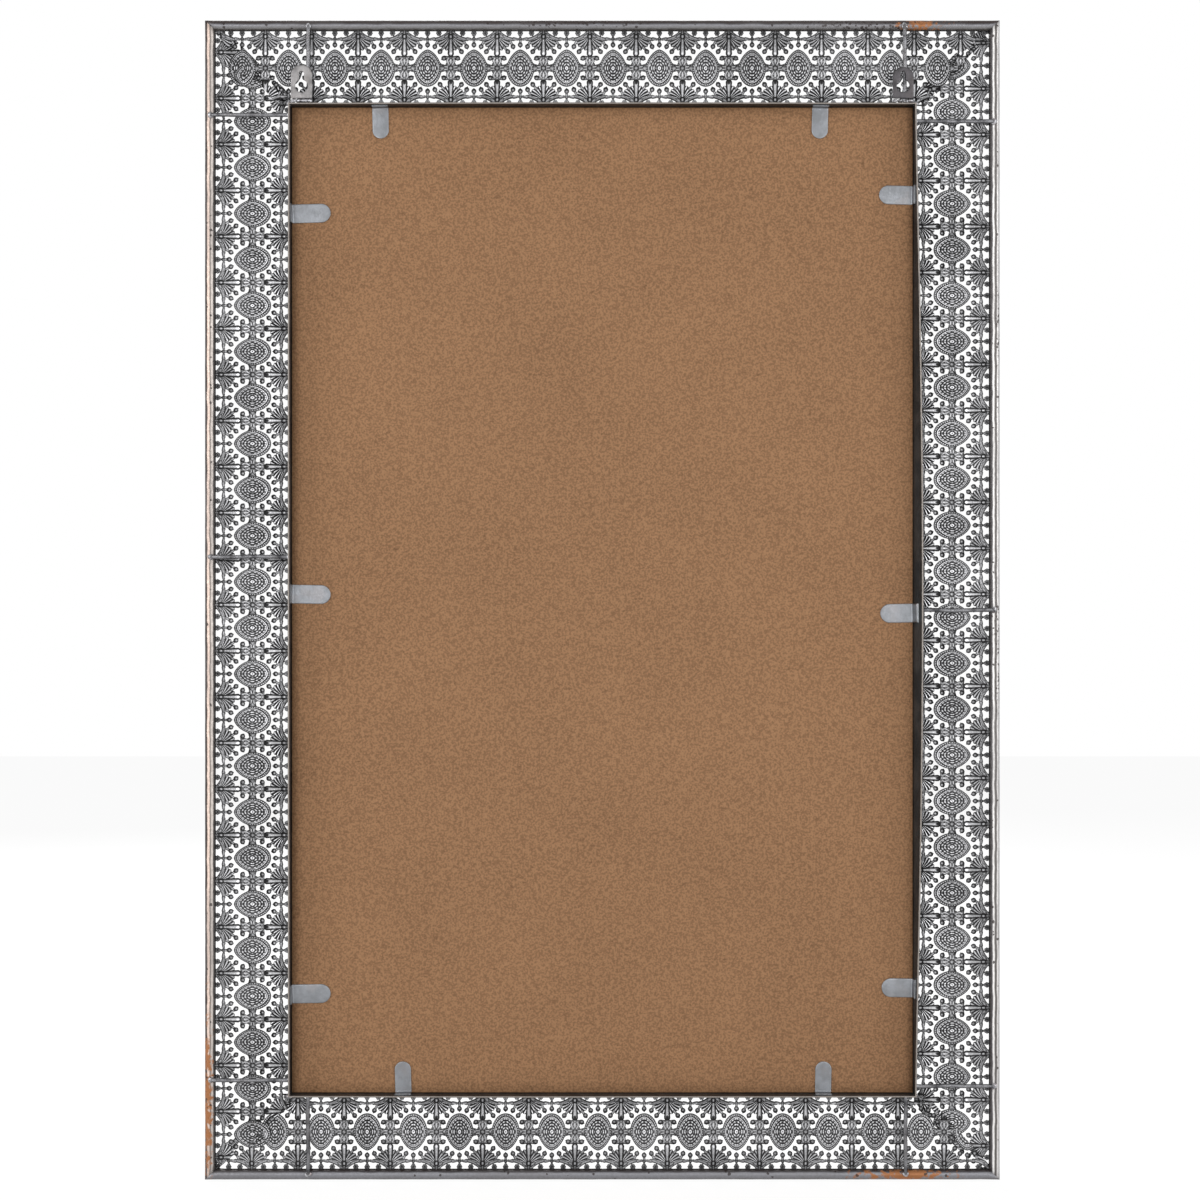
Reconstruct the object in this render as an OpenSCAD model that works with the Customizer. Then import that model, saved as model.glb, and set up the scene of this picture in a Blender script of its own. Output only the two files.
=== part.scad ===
// Wall mirror with a border of pierced metal filigree, welded up from rods, strips and pressed sheet.
// Millimetres, +Z up. The front faces -Y and the wall is the plane Y = 0.
// The origin lies on the wall, midway between the two hanger holes.
// Left and right in the names are as seen from the front, so +X is to the right.

/* [Overall] */
// Width over the outer rails
overall_w = 624; // [480:1:900]
// Height over the outer rails
overall_h = 910; // [640:1:1400]
// Width of the border, from the outside of the rails to the outside of the inner strips
border_w = 66.5; // [65:0.5:76]

/* [Outer rails] */
// Diameter of the round rails
rail_d = 8; // [6:0.5:9]
// Distance from the wall to the middle of the rails
rail_depth = 12.5; // [11:0.5:16]

/* [Inner strips] */
// Depth of the strips, from the wall to the front of the lip
strip_depth = 20; // [18:0.5:26]
// Thickness of the strip metal
strip_t = 1.2; // [0.8:0.1:2]
// Width of the lip that covers the edge of the glass
lip_w = 8; // [5:0.5:14]

/* [Mirror and board] */
// Thickness of the glass
glass_t = 3; // [2:0.5:4]
// Thickness of the backing board
board_t = 3; // [2:0.5:4]
// Gap round the glass and the board inside the strips
pane_gap = 0.5; // [0.2:0.1:1]

/* [Filigree] */
// Thickness of the pierced sheet
sheet_t = 0.8; // [0.5:0.1:1.2]
// Length of one repeat of the pattern
repeat = 36.4; // [35:0.1:40]
// Width of the solid edge along each side of the sheet
selvage = 1.2; // [0.8:0.1:2]
// Half length of a medallion, along the strip
medallion_a = 10.4; // [8.5:0.1:10.6]
// Width of the ring of openings above and below a medallion
channel_w = 6.2; // [5:0.1:7]
// Width of the scrolls between that ring and the openings along the edge
scroll_w = 2.6; // [1.6:0.1:4]
// Depth of the openings along the edge, from the solid edge
fan_rise = 4.8; // [4:0.1:6]
// Radius of the beads round a medallion
bead_r = 1.9; // [1.4:0.1:2.1]
// Radius of the rosettes along the edges
rosette_r = 2.3; // [1.6:0.1:2.6]
// Place of a medallion on the top strip, from the middle
top_offset = -8.1; // [-18:0.1:18]
// Place of a medallion on the bottom strip, from the middle
bottom_offset = 3.9; // [-18:0.1:18]
// Place of a medallion on the left strip, above the middle
left_offset = -13.9; // [-18:0.1:18]
// Place of a medallion on the right strip, above the middle
right_offset = 13.7; // [-18:0.1:18]

/* [Stay wires] */
// Diameter of the wires
stay_d = 3.2; // [2:0.1:3.6]
// Length of each wire that lies on its rail
stay_lap = 3.6; // [2:0.1:4]
// Places of the upright wires in from the corners: top left, top right, bottom left, bottom right
upright_inset = [8.6, 15.2, 7.9, 15]; // [4:0.1:40]
// Places of the level wires in from the corners: left upper, right upper, left lower, right lower
level_inset = [13.4, 8.5, 7.7, 12.4]; // [4:0.1:40]
// Height of the left middle wire above the middle of the frame
left_middle_stay = -7.8; // [-60:0.1:60]
// Height of the right middle wire above the middle of the frame
right_middle_stay = 33.8; // [-60:0.1:60]

/* [Clips] */
// Thickness of the clip metal
clip_t = 1; // [0.6:0.1:1.5]
// Inside radius of the bend
clip_bend = 1; // [0.5:0.1:2]
// Height of the leg that is welded to the strip
clip_leg = 8; // [5:0.5:10]
// Width of the clips at the top and bottom
end_clip_w = 12.8; // [8:0.2:20]
// Length of the clips at the top and bottom, from the strip
end_clip_l = 25; // [15:0.5:40]
// Width of the clips at the sides
side_clip_w = 14.8; // [8:0.2:20]
// Length of the clips at the sides, from the strip
side_clip_l = 31; // [15:0.5:40]
// Places of the end clips in from the corners: top left, top right, bottom left, bottom right
end_clip_inset = [74.3, 71.2, 72.2, 89.4]; // [30:0.1:140]
// Places of the side clips in from the corners: left upper, right upper, left lower, right lower
side_clip_inset = [70.9, 85.4, 83.8, 79.1]; // [30:0.1:160]
// Height of the left middle clip above the middle of the frame
left_middle_clip = -10.2; // [-60:0.1:60]
// Height of the right middle clip above the middle of the frame
right_middle_clip = 4.7; // [-60:0.1:60]

/* [Hangers] */
// Distance of the hanger holes in from the inner frame's corners
hanger_inset = 10.5; // [9:0.5:100]
// Width of a hanger plate
hanger_w = 16.5; // [14:0.5:24]
// Thickness of a hanger plate
hanger_t = 2; // [1.5:0.1:3]
// Diameter of the round hole that the screw head goes through
hole_d = 10; // [8:0.2:11]
// Width of the slot that holds the screw's neck
slot_w = 4; // [3:0.1:6]
// Height of the slot's round end above the middle of the hole
slot_rise = 9.5; // [7:0.1:12]
// Metal between the slot and the top of the plate
hanger_top = 4.2; // [2:0.1:6]
// Metal between the hole and the bottom of the plate
hanger_foot = 4.6; // [2:0.1:8]
// Radius of the plate's upper corners
hanger_corner_r = 6; // [2:0.5:7]

/* [Welds] */
// Gap between a hanger and the inner strip, which the weld beads bridge
weld_gap = 3.4; // [2:0.1:3.6]
// Diameter of the beads under the hangers
weld_d = 3.8; // [3.7:0.1:4.1]
// Number of beads under each hanger
bead_count = 4; // [2:1:4]
// Distance between the beads under a hanger
bead_pitch = 4.2; // [4.2:0.1:5]
// Diameter of the bead round a stay's end on its rail
stay_weld_d = 5.6; // [5:0.1:6.4]
// Width of the bead round a stay's foot on the inner strip
foot_weld = 0.7; // [0.4:0.1:1]
// Diameter of the bead outside each corner of the inner frame
corner_weld_d = 4.4; // [3:0.1:6]
// Distance from the wall to the middle of those beads
corner_weld_depth = 6.2; // [5:0.1:8]

/* [Hidden] */
$fn = 48;

// The inner frame, over its strips
inner_w = overall_w - 2 * border_w;
inner_h = overall_h - 2 * border_w;
// Height of the hanger holes above the top inner strip
hole_up = weld_gap + hanger_foot + hole_d / 2;
// Height of the middle of the frame in the part's own frame
mid_z = -hole_up - inner_h / 2;
// Distance between the two hanger holes
hanger_spacing = inner_w - 2 * hanger_inset;
// Depths, as distances in front of the wall
rail_back = rail_depth - rail_d / 2;
glass_back = strip_depth - strip_t - glass_t;
board_back = glass_back - board_t;
sheet_back = rail_depth - sheet_t / 2;
// Half width of the filigree strips, which fit between the rails and the inner strips
fit = 0.05;
half_w = (border_w - rail_d) / 2 - fit;
strip_mid = border_w - half_w - fit;
// From the middle of the strip: how far the sunburst round a medallion reaches, and the medallion itself
sun_reach = half_w - selvage - fan_rise - scroll_w;
medallion_b = sun_reach - channel_w;

SIDES = ["top", "right", "bottom", "left"];
// Each strip of filigree: its name, its side, and the place of one medallion from the middle of the side.
FILIGREE = [
    ["filigree_top", "top", top_offset],
    ["filigree_bottom", "bottom", bottom_offset],
    ["filigree_left", "left", left_offset],
    ["filigree_right", "right", right_offset]];
// Each stay: its name, its side, and its place to the right of the frame's middle or above it.
STAYS = [
    ["stay_top_left", "top", upright_inset[0] - inner_w / 2],
    ["stay_top_right", "top", inner_w / 2 - upright_inset[1]],
    ["stay_bottom_left", "bottom", upright_inset[2] - inner_w / 2],
    ["stay_bottom_right", "bottom", inner_w / 2 - upright_inset[3]],
    ["stay_left_upper", "left", inner_h / 2 - level_inset[0]],
    ["stay_right_upper", "right", inner_h / 2 - level_inset[1]],
    ["stay_left_middle", "left", left_middle_stay],
    ["stay_right_middle", "right", right_middle_stay],
    ["stay_left_lower", "left", level_inset[2] - inner_h / 2],
    ["stay_right_lower", "right", level_inset[3] - inner_h / 2]];
// Each clip: its name, side and place as for a stay, its width and its length.
CLIPS = [
    ["clip_top_left", "top", end_clip_inset[0] - inner_w / 2, end_clip_w, end_clip_l],
    ["clip_top_right", "top", inner_w / 2 - end_clip_inset[1], end_clip_w, end_clip_l],
    ["clip_bottom_left", "bottom", end_clip_inset[2] - inner_w / 2, end_clip_w, end_clip_l],
    ["clip_bottom_right", "bottom", inner_w / 2 - end_clip_inset[3], end_clip_w, end_clip_l],
    ["clip_left_upper", "left", inner_h / 2 - side_clip_inset[0], side_clip_w, side_clip_l],
    ["clip_right_upper", "right", inner_h / 2 - side_clip_inset[1], side_clip_w, side_clip_l],
    ["clip_left_middle", "left", left_middle_clip, side_clip_w, side_clip_l],
    ["clip_right_middle", "right", right_middle_clip, side_clip_w, side_clip_l],
    ["clip_left_lower", "left", side_clip_inset[2] - inner_h / 2, side_clip_w, side_clip_l],
    ["clip_right_lower", "right", side_clip_inset[3] - inner_h / 2, side_clip_w, side_clip_l]];

function turn_of(side) = side == "top" ? 0 : side == "right" ? 90 : side == "bottom" ? 180 : -90;
function is_level(side) = side == "top" || side == "bottom";
// Half length of the frame along a side, and its half width across it
function along(side) = (is_level(side) ? overall_w : overall_h) / 2;
function across(side) = (is_level(side) ? overall_h : overall_w) / 2;

// A place to the right of the frame's middle or above it, as a place along the side.
function local_u(side, place) = side == "top" || side == "left" ? place : -place;

// Children drawn in a side's own frame: X along the side, Z outwards from its outer edge, Y through
// the wall.
module on_side(side) {
    translate([0, 0, mid_z])
        rotate([0, turn_of(side), 0])
            translate([0, 0, across(side)])
                children();
}

// A flat outline in X and Z, made as thick as t from the depth given, forwards.
module plate(depth, t) {
    translate([0, -depth, 0]) rotate([90, 0, 0]) linear_extrude(t) children();
}

// The outline of a side between two distances from its outer edge, with both ends cut at 45 degrees.
module mitred(side, near, far) {
    l = along(side);
    polygon([[near - l, -near], [l - near, -near], [l - far, -far], [far - l, -far]]);
}

// Outer rails: round rods with mitred ends.
module outer_rail(side) {
    color([0.55, 0.56, 0.6])
        on_side(side)
            intersection() {
                translate([-along(side), -rail_depth, -rail_d / 2])
                    rotate([0, 90, 0])
                        cylinder(h = 2 * along(side), d = rail_d);
                plate(0, rail_depth + rail_d) mitred(side, 0, rail_d);
            }
}

// Inner strips: sheet on edge, with a lip at the front.
module inner_strip(side) {
    color([0.4, 0.41, 0.44])
        on_side(side) {
            plate(0, strip_depth) mitred(side, border_w, border_w + strip_t);
            plate(strip_depth - strip_t, strip_t)
                mitred(side, border_w + strip_t, border_w + strip_t + lip_w);
        }
}

// The pattern is drawn about the middle of a medallion, U along the strip and V across it.

// A rounded diamond, |u/a|^n + |v/b|^n = 1, from one angle to another.
medallion_n = 1.9;
function signed_power(x, p) = sign(x) * pow(abs(x), p);
function diamond(a, b, from, to, steps) = [
    for (i = [0 : steps]) let (t = from + (to - from) * i / steps)
        [a * signed_power(cos(t), 2 / medallion_n), b * signed_power(sin(t), 2 / medallion_n)]];

// The sunburst is laid out in shares of the repeat along the strip, and of its own reach across it.
function sun_point(p) = [p[0] * repeat, p[1] * sun_reach];

// The rim of the sunburst in its first quarter.
sun_quarter = [
    [0.315, 0.147], [0.4, 0.217], [0.435, 0.406], [0.44, 0.594], [0.41, 0.68], [0.34, 0.77], [0.25, 0.9],
    [0.19, 0.965], [0.125, 1]];
function sun_rim() = concat(
    [for (p = sun_quarter) sun_point(p)],
    [for (i = [len(sun_quarter) - 1 : -1 : 0]) let (p = sun_point(sun_quarter[i])) [-p[0], p[1]]]);

// The opening meets the medallion this far up from the strip's middle line.
meet_angle = 12;
// Beads that hang from the rim in its first quarter.
beads = [[0, 0.884], [0.152, 0.813], [0.262, 0.625], [0.348, 0.37]];
stem_w = 1.3;
module bead(place) {
    rotate(atan2(place[1], place[0])) {
        translate([norm(place), 0]) circle(bead_r);
        translate([norm(place), -stem_w / 2]) square([2.4 * bead_r, stem_w]);
    }
}

// The opening above a medallion: inside the sunburst and outside the medallion, with the beads left
// standing.
module sunburst_opening() {
    difference() {
        polygon(concat(sun_rim(), diamond(medallion_a, medallion_b, 180 - meet_angle, meet_angle, 10)));
        for (b = beads) {
            bead(sun_point(b));
            if (b[0] > 0) bead(sun_point([-b[0], b[1]]));
        }
    }
}

// The opening between a fan and the middle rosette, in shares of the repeat, and of its depth from the
// solid edge.
fan_rim = [
    [0.455, 0], [0.41, 0.22], [0.37, 0.4], [0.32, 0.62], [0.27, 0.81], [0.18, 1], [0.03, 0.77], [0.03, 0]];
rosette_step = 0.24;
module edge_opening() {
    difference() {
        polygon([for (p = fan_rim) [p[0] * repeat, p[1] * fan_rise]]);
        for (u = [0, rosette_step * repeat])
            translate([u, 0.6 * rosette_r]) circle(rosette_r);
    }
}

// Half length of a side's sheet that may be pierced, at a distance from the frame's outer edge.
seam = 1.4;
function pierced(side, d) = along(side) - d - seam;

// An opening that reaches half_u either side of u, between two distances from the frame's outer edge.
// It is left whole where it clears the mitred ends, and is otherwise trimmed beside them.
module trimmed(side, u, half_u, one_edge, other_edge) {
    if (abs(u) + half_u < pierced(side, max(one_edge, other_edge)))
        children();
    else if (abs(u) - half_u / 2 < pierced(side, min(one_edge, other_edge)))
        intersection() {
            children();
            polygon([
                for (p = [[-1, rail_d], [1, rail_d], [1, border_w], [-1, border_w]])
                    [p[0] * pierced(side, p[1]), -p[1]]]);
        }
}

// How far the two kinds of opening reach: along the strip, and across it.
sun_half = max([for (p = sun_quarter) p[0]]) * repeat;
sun_near = min([for (p = sun_quarter) p[1]]) * sun_reach;
fan_near = min([for (p = fan_rim) p[0]]) * repeat;
fan_far = max([for (p = fan_rim) p[0]]) * repeat;
fan_depth = selvage + fan_rise;

// One repeat of the openings, with its medallion at u along the side.
module openings(side, u) {
    for (up = [1, -1])
        trimmed(side, u, sun_half, strip_mid - up * sun_near, strip_mid - up * sun_reach)
            translate([u, -strip_mid]) mirror([0, up < 0 ? 1 : 0]) sunburst_opening();
    for (right = [1, -1], outer = [1, -1])
        trimmed(side, u + right * (fan_near + fan_far) / 2, (fan_far - fan_near) / 2,
            strip_mid - outer * half_w, strip_mid - outer * (half_w - fan_depth))
            translate([u, -strip_mid + outer * (half_w - selvage)])
                mirror([right < 0 ? 1 : 0, 0])
                    mirror([0, outer > 0 ? 1 : 0])
                        edge_opening();
}

// Filigree: sheet pierced with a row of the repeats, with both ends cut at 45 degrees.
module filigree(side, offset) {
    l = along(side);
    u0 = local_u(side, offset);
    places = [for (i = [ceil((-l - u0) / repeat) : floor((l - u0) / repeat)]) u0 + i * repeat];
    color([0.5, 0.51, 0.54])
        on_side(side)
            plate(sheet_back, sheet_t)
                difference() {
                    mitred(side, rail_d + fit, border_w - fit);
                    for (u = places) openings(side, u);
                }
}

// A stay: a wire on the back of its rail that runs in to the outside of the inner strip.
module stay_wire(where) {
    translate([where, stay_d / 2 - rail_back, -border_w])
        cylinder(h = border_w - rail_d + stay_lap, d = stay_d);
}

module stay(side, where) {
    color([0.6, 0.61, 0.65]) on_side(side) stay_wire(local_u(side, where));
}

// The beads that hold one stay: round its end on the rail, and round its foot on the inner strip.
module stay_beads(side, where) {
    u = local_u(side, where);
    on_side(side)
        difference() {
            union() {
                translate([u, 0.3 * stay_weld_d / 2 - rail_back, stay_lap - rail_d - stay_d / 4])
                    sphere(d = stay_weld_d);
                translate([u, stay_d / 2 - rail_back, -border_w]) sphere(d = stay_d + 2 * foot_weld);
            }
            stay_wire(u);
            translate([u - stay_weld_d, -rail_depth, -rail_d / 2])
                rotate([0, 90, 0])
                    cylinder(h = 2 * stay_weld_d, d = rail_d);
            plate(0, strip_depth)
                translate([u - stay_weld_d, -border_w - stay_weld_d])
                    square([2 * stay_weld_d, stay_weld_d]);
        }
}

module stay_welds() {
    color([0.7, 0.71, 0.74]) for (s = STAYS) stay_beads(s[1], s[2]);
}

// A clip, bent from flat strip: X runs from the inner strip over the board, Y away from the board.
module clip_profile(l) {
    r = clip_bend + clip_t;
    translate([0, r]) square([clip_t, clip_leg - r]);
    translate([r, 0]) square([l - r, clip_t]);
    translate([r, r])
        difference() {
            intersection() {
                circle(r);
                translate([-r, -r]) square(r);
            }
            circle(clip_bend);
        }
}

module clip(side, where, w, l) {
    seat = border_w + strip_t;
    color([0.62, 0.63, 0.67])
        on_side(side)
            translate([local_u(side, where), 0, -seat])
                intersection() {
                    translate([-w / 2, -board_back, 0])
                        rotate([0, 90, 0])
                            linear_extrude(w)
                                clip_profile(l);
                    plate(0, board_back) {
                        translate([-w / 2, w / 2 - l]) square([w, l - w / 2]);
                        translate([0, w / 2 - l]) circle(d = w);
                    }
                }
}

// Hanger: a keyhole plate. The screw's head goes through the round hole and its neck slides up the slot.
module hanger(x) {
    foot = -hole_d / 2 - hanger_foot;
    h = slot_rise + slot_w / 2 + hanger_top - foot;
    r = hanger_corner_r;
    color([0.58, 0.58, 0.6])
        plate(0, hanger_t)
            translate([x, 0])
                difference() {
                    union() {
                        translate([-hanger_w / 2, foot]) square([hanger_w, h - r]);
                        translate([r - hanger_w / 2, foot]) square([hanger_w - 2 * r, h]);
                        for (right = [1, -1])
                            translate([right * (hanger_w / 2 - r), foot + h - r]) circle(r);
                    }
                    circle(d = hole_d);
                    translate([-slot_w / 2, 0]) square([slot_w, slot_rise]);
                    translate([0, slot_rise]) circle(d = slot_w);
                }
}

// The row of beads between each hanger and the top inner strip.
module hanger_welds() {
    color([0.7, 0.71, 0.74])
        for (x = [-hanger_spacing / 2, hanger_spacing / 2], i = [0 : bead_count - 1])
            translate([x + (i - (bead_count - 1) / 2) * bead_pitch, -weld_d / 2, weld_gap / 2 - hole_up])
                difference() {
                    sphere(d = weld_d);
                    translate([-weld_d, -weld_d, weld_gap / 2]) cube(2 * weld_d);
                    translate([-weld_d, -weld_d, -weld_gap / 2 - weld_d])
                        cube([2 * weld_d, 2 * weld_d, weld_d]);
                }
}

// The beads that close the corners of the inner frame, outside it.
module corner_welds() {
    color([0.7, 0.71, 0.74])
        for (right = [1, -1], up = [1, -1])
            difference() {
                translate([right * inner_w / 2, -corner_weld_depth, mid_z + up * inner_h / 2])
                    sphere(d = corner_weld_d);
                translate([-inner_w / 2, -strip_depth, mid_z - inner_h / 2])
                    cube([inner_w, strip_depth, inner_h]);
            }
}

// The glass and the board fill the frame between the lips and the clips.
module pane() {
    w = inner_w - 2 * (strip_t + pane_gap);
    h = inner_h - 2 * (strip_t + pane_gap);
    translate([-w / 2, mid_z - h / 2]) square([w, h]);
}

module mirror_glass() {
    color([0.75, 0.8, 0.82]) plate(glass_back, glass_t) pane();
}

module backing_board() {
    color([0.59, 0.44, 0.31]) plate(board_back, board_t) pane();
}

for (s = SIDES) {
    outer_rail(s);
    inner_strip(s);
}
for (f = FILIGREE) filigree(f[1], f[2]);
for (s = STAYS) stay(s[1], s[2]);
for (c = CLIPS) clip(c[1], c[2], c[3], c[4]);
hanger(-hanger_spacing / 2);  // hanger_left
hanger(hanger_spacing / 2);  // hanger_right
mirror_glass();
backing_board();
stay_welds();
hanger_welds();
corner_welds();
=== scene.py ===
"""Looks and studio for a wall mirror with a border of pierced metal filigree, seen from its back.

Shapes are worked out in millimetres. Each side of the frame has its own coordinates: u runs along the
side, a outwards from the middle of the frame, and y through the wall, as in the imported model.
"""
import logging
from collections.abc import Iterable, Sequence
from dataclasses import dataclass, field, replace
from enum import Enum

import bpy
import numpy as np
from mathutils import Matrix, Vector
from numpy.typing import NDArray


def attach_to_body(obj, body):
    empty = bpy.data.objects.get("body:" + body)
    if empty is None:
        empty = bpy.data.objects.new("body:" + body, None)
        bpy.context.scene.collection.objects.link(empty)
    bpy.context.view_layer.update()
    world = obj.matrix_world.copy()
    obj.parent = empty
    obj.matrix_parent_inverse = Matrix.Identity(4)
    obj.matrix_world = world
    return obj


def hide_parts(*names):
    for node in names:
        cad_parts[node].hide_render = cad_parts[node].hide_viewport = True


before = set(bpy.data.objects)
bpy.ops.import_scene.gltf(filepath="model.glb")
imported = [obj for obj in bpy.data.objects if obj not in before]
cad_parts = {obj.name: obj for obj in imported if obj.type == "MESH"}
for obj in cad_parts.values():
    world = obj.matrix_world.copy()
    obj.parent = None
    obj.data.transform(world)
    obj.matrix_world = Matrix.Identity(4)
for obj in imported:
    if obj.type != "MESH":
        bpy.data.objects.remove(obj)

Floats = NDArray[np.float64]
Ints = NDArray[np.int64]
Rings = list[Ints]
Pair = tuple[float, float]
Triple = tuple[float, float, float]
Colour = tuple[float, float, float]
Inputs = dict[str | int, object]
Mesh = bpy.types.Mesh
Material = bpy.types.Material
Node = bpy.types.Node
Socket = bpy.types.NodeSocket
Tree = bpy.types.NodeTree

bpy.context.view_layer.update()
MM = 0.001
# A distance that lies outside every shape
FAR = 99.0
# Upper end of a random phase, in radians
PHASE = 6.28
# Cuts stay this share of a grid cell's edge away from its ends
SLIVER = 0.08
# Share of a way along the side that lies across a 45 degree cut
ACROSS_MITRE = 0.7
log = logging.getLogger("mirror")


class Side(Enum):
    """The four sides of the frame, by the quarter turns that carry the top side onto each."""

    TOP = 0
    RIGHT = 1
    BOTTOM = 2
    LEFT = 3

    @property
    def label(self) -> str:
        """The side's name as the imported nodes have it."""
        return self.name.lower()

    @property
    def level(self) -> bool:
        """Whether the side runs from left to right."""
        return self in (Side.TOP, Side.BOTTOM)


@dataclass(frozen=True)
class Layout:
    """Sizes that the whole object shares, in millimetres."""

    width: float = 624.0
    height: float = 910.0
    border: float = 66.5
    rail: float = 8.0
    rail_depth: float = 12.5
    strip_depth: float = 20.0
    strip_t: float = 1.2
    lip: float = 8.0
    mid_z: float = -401.5
    board_back: float = 12.8
    glass_back: float = 15.8
    left_lean: float = 5.6
    other_lean: float = 0.25

    def across(self, side: Side) -> float:
        """Distance of a side's outer edge from the middle of the frame."""
        return (self.height if side.level else self.width) / 2

    def along(self, side: Side) -> float:
        """Half length of the frame along a side."""
        return (self.width if side.level else self.height) / 2

    def half_at(self, side: Side, a: Floats | float) -> Floats | float:
        """Half length that the 45 degree mitres leave at a distance a from the middle of the frame."""
        return a - self.across(side) + self.along(side)

    def seen_from_front(self, side: Side, place: float) -> float:
        """A place to the right of the frame's middle, or above it, as u along the side."""
        return place if side in (Side.TOP, Side.LEFT) else -place

    def lean(self, side: Side, u: Floats, y: Floats) -> Floats:
        """How far an inner strip leans outwards: most at its rear and at the middle of its length.

        Args:
            side: the strip's side.
            u: places along it.
            y: depths.

        Returns:
            The lean in millimetres, (1 - s^2)^1.3 along the strip times a smooth step through its
            depth.
        """
        s = np.clip(u / self.half_at(side, self.across(side) - self.border), -1, 1)
        most = self.left_lean if side is Side.LEFT else self.other_lean
        return most * (1 - s**2) ** 1.3 * smooth_step(y, -13.0, 1.5)

    def place(self, side: Side, u: Floats, a: Floats, y: Floats) -> Floats:
        """Turns a side's own coordinates into the object's, in metres.

        Args:
            side: the side the arrays belong to.
            u: places along it.
            a: distances outwards from the middle of the frame.
            y: depths, with the wall at zero and the front negative.

        Returns:
            An array of points, one row each.
        """
        u, a, y = (k.ravel() for k in np.broadcast_arrays(u, a, y))
        x, z = {
            Side.TOP: (u, a),
            Side.RIGHT: (a, -u),
            Side.BOTTOM: (-u, -a),
            Side.LEFT: (-a, u),
        }[side]
        return np.column_stack([x, y, z + self.mid_z]) * MM


LAYOUT = Layout()


def smooth_step(x: Floats, low: float, high: float) -> Floats:
    """Zero below low, one above high, and a smooth 3t^2 - 2t^3 between them."""
    t = np.clip((x - low) / (high - low), 0, 1)
    return t * t * (3 - 2 * t)


def ripple(x: Floats, seed: int, wave: float, terms: int = 5) -> Floats:
    """A gentle random line between about -1 and 1, a sum of sines with seeded phases.

    Each sine is 1.7 times as short as the one before and 1.3 times as low.

    Args:
        x: places along the line.
        seed: chooses the phases.
        wave: the longest wavelength.
        terms: how many sines are added.

    Returns:
        The line's height at each place.
    """
    rng = np.random.default_rng(seed)
    total = np.zeros_like(np.asarray(x, float))
    for k in range(terms):
        total += np.sin(2 * np.pi * x * (1.7**k) / wave + rng.uniform(0, PHASE)) / (1.3**k)
    return total / 2.6


def loft(rows: int, columns: int, caps: bool = True) -> Rings:
    """Faces of a tube-like grid of points, closed across its columns.

    Args:
        rows: the number of profiles along the path.
        columns: the number of points round each profile.
        caps: whether the first and last profiles are closed with one face each.

    Returns:
        Arrays of corner numbers, quads first.
    """
    i, j = np.meshgrid(np.arange(rows - 1), np.arange(columns), indexing="ij")
    k = (j + 1) % columns
    quads = np.stack([i * columns + j, i * columns + k, (i + 1) * columns + k, (i + 1) * columns + j], -1)
    rings = [quads.reshape(-1, 4)]
    if caps:
        first = np.arange(columns)[::-1]
        rings += [first[None], ((rows - 1) * columns + np.arange(columns))[None]]
    return rings


def outwards(points: Floats, rings: Rings) -> Rings:
    """Turns the faces of a closed shape outwards.

    Its volume is the sum over its triangles of the tetrahedra on its middle, negative where they point
    inwards.

    Args:
        points: its vertices.
        rings: arrays of corner numbers, each of one polygon size.

    Returns:
        The faces, all turned where the volume was negative.
    """
    centred, total = points - points.mean(0), 0.0
    for ring in rings:
        for k in range(1, ring.shape[1] - 1):
            p, q, r = centred[ring[:, 0]], centred[ring[:, k]], centred[ring[:, k + 1]]
            total += float(np.einsum("ij,ij->i", p, np.cross(q, r)).sum())
    return [ring[:, ::-1] for ring in rings] if total < 0 else rings


def solid_mesh(name: str, points: Floats, rings: Rings, flat: Sequence[bool] = ()) -> Mesh:
    """Puts closed faces into a mesh, pointing outwards.

    Args:
        name: the mesh's name.
        points: its vertices, in metres.
        rings: arrays of corner numbers, each of one polygon size.
        flat: for each array, whether its faces are shaded flat; none are where it is left out.

    Returns:
        The new mesh.
    """
    rings = outwards(points, rings)
    corners = np.concatenate([ring.ravel() for ring in rings]).astype(np.int32)
    sizes = np.concatenate([np.full(len(ring), ring.shape[1]) for ring in rings])
    starts = np.concatenate([[0], np.cumsum(sizes)[:-1]]).astype(np.int32)
    mesh = bpy.data.meshes.new(name)
    mesh.vertices.add(len(points))
    mesh.vertices.foreach_set("co", points.astype(np.float32).ravel())
    mesh.loops.add(len(corners))
    mesh.loops.foreach_set("vertex_index", corners)
    mesh.polygons.add(len(sizes))
    mesh.polygons.foreach_set("loop_start", starts)
    flat = flat or [False] * len(rings)
    sharp = np.concatenate([np.full(len(ring), chosen) for ring, chosen in zip(rings, flat)])
    attribute = mesh.attributes.new("sharp_face", "BOOLEAN", "FACE")
    attribute.data.foreach_set("value", sharp.astype(bool))
    mesh.update(calc_edges=True)
    mesh.validate()
    return mesh


def attach(mesh: Mesh, name: str, values: Floats) -> None:
    """Stores a number on each point of a mesh, or a vector where the values have three columns.

    Args:
        mesh: the mesh.
        name: the attribute's name.
        values: one row for each point.
    """
    kind, key = ("FLOAT", "value") if values.ndim == 1 else ("FLOAT_VECTOR", "vector")
    attribute = mesh.attributes.new(name, kind, "POINT")
    attribute.data.foreach_set(key, values.astype(np.float32).ravel())


def joined(parts: Iterable[tuple[Floats, Rings]]) -> tuple[Floats, Rings]:
    """Puts several closed shapes together, each turned outwards first.

    Args:
        parts: the points and faces of each.

    Returns:
        One set of points and faces.
    """
    points, rings, shift = [], [], 0
    for part, faces in parts:
        points.append(part)
        rings += [ring + shift for ring in outwards(part, faces)]
        shift += len(part)
    return np.concatenate(points), rings


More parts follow.
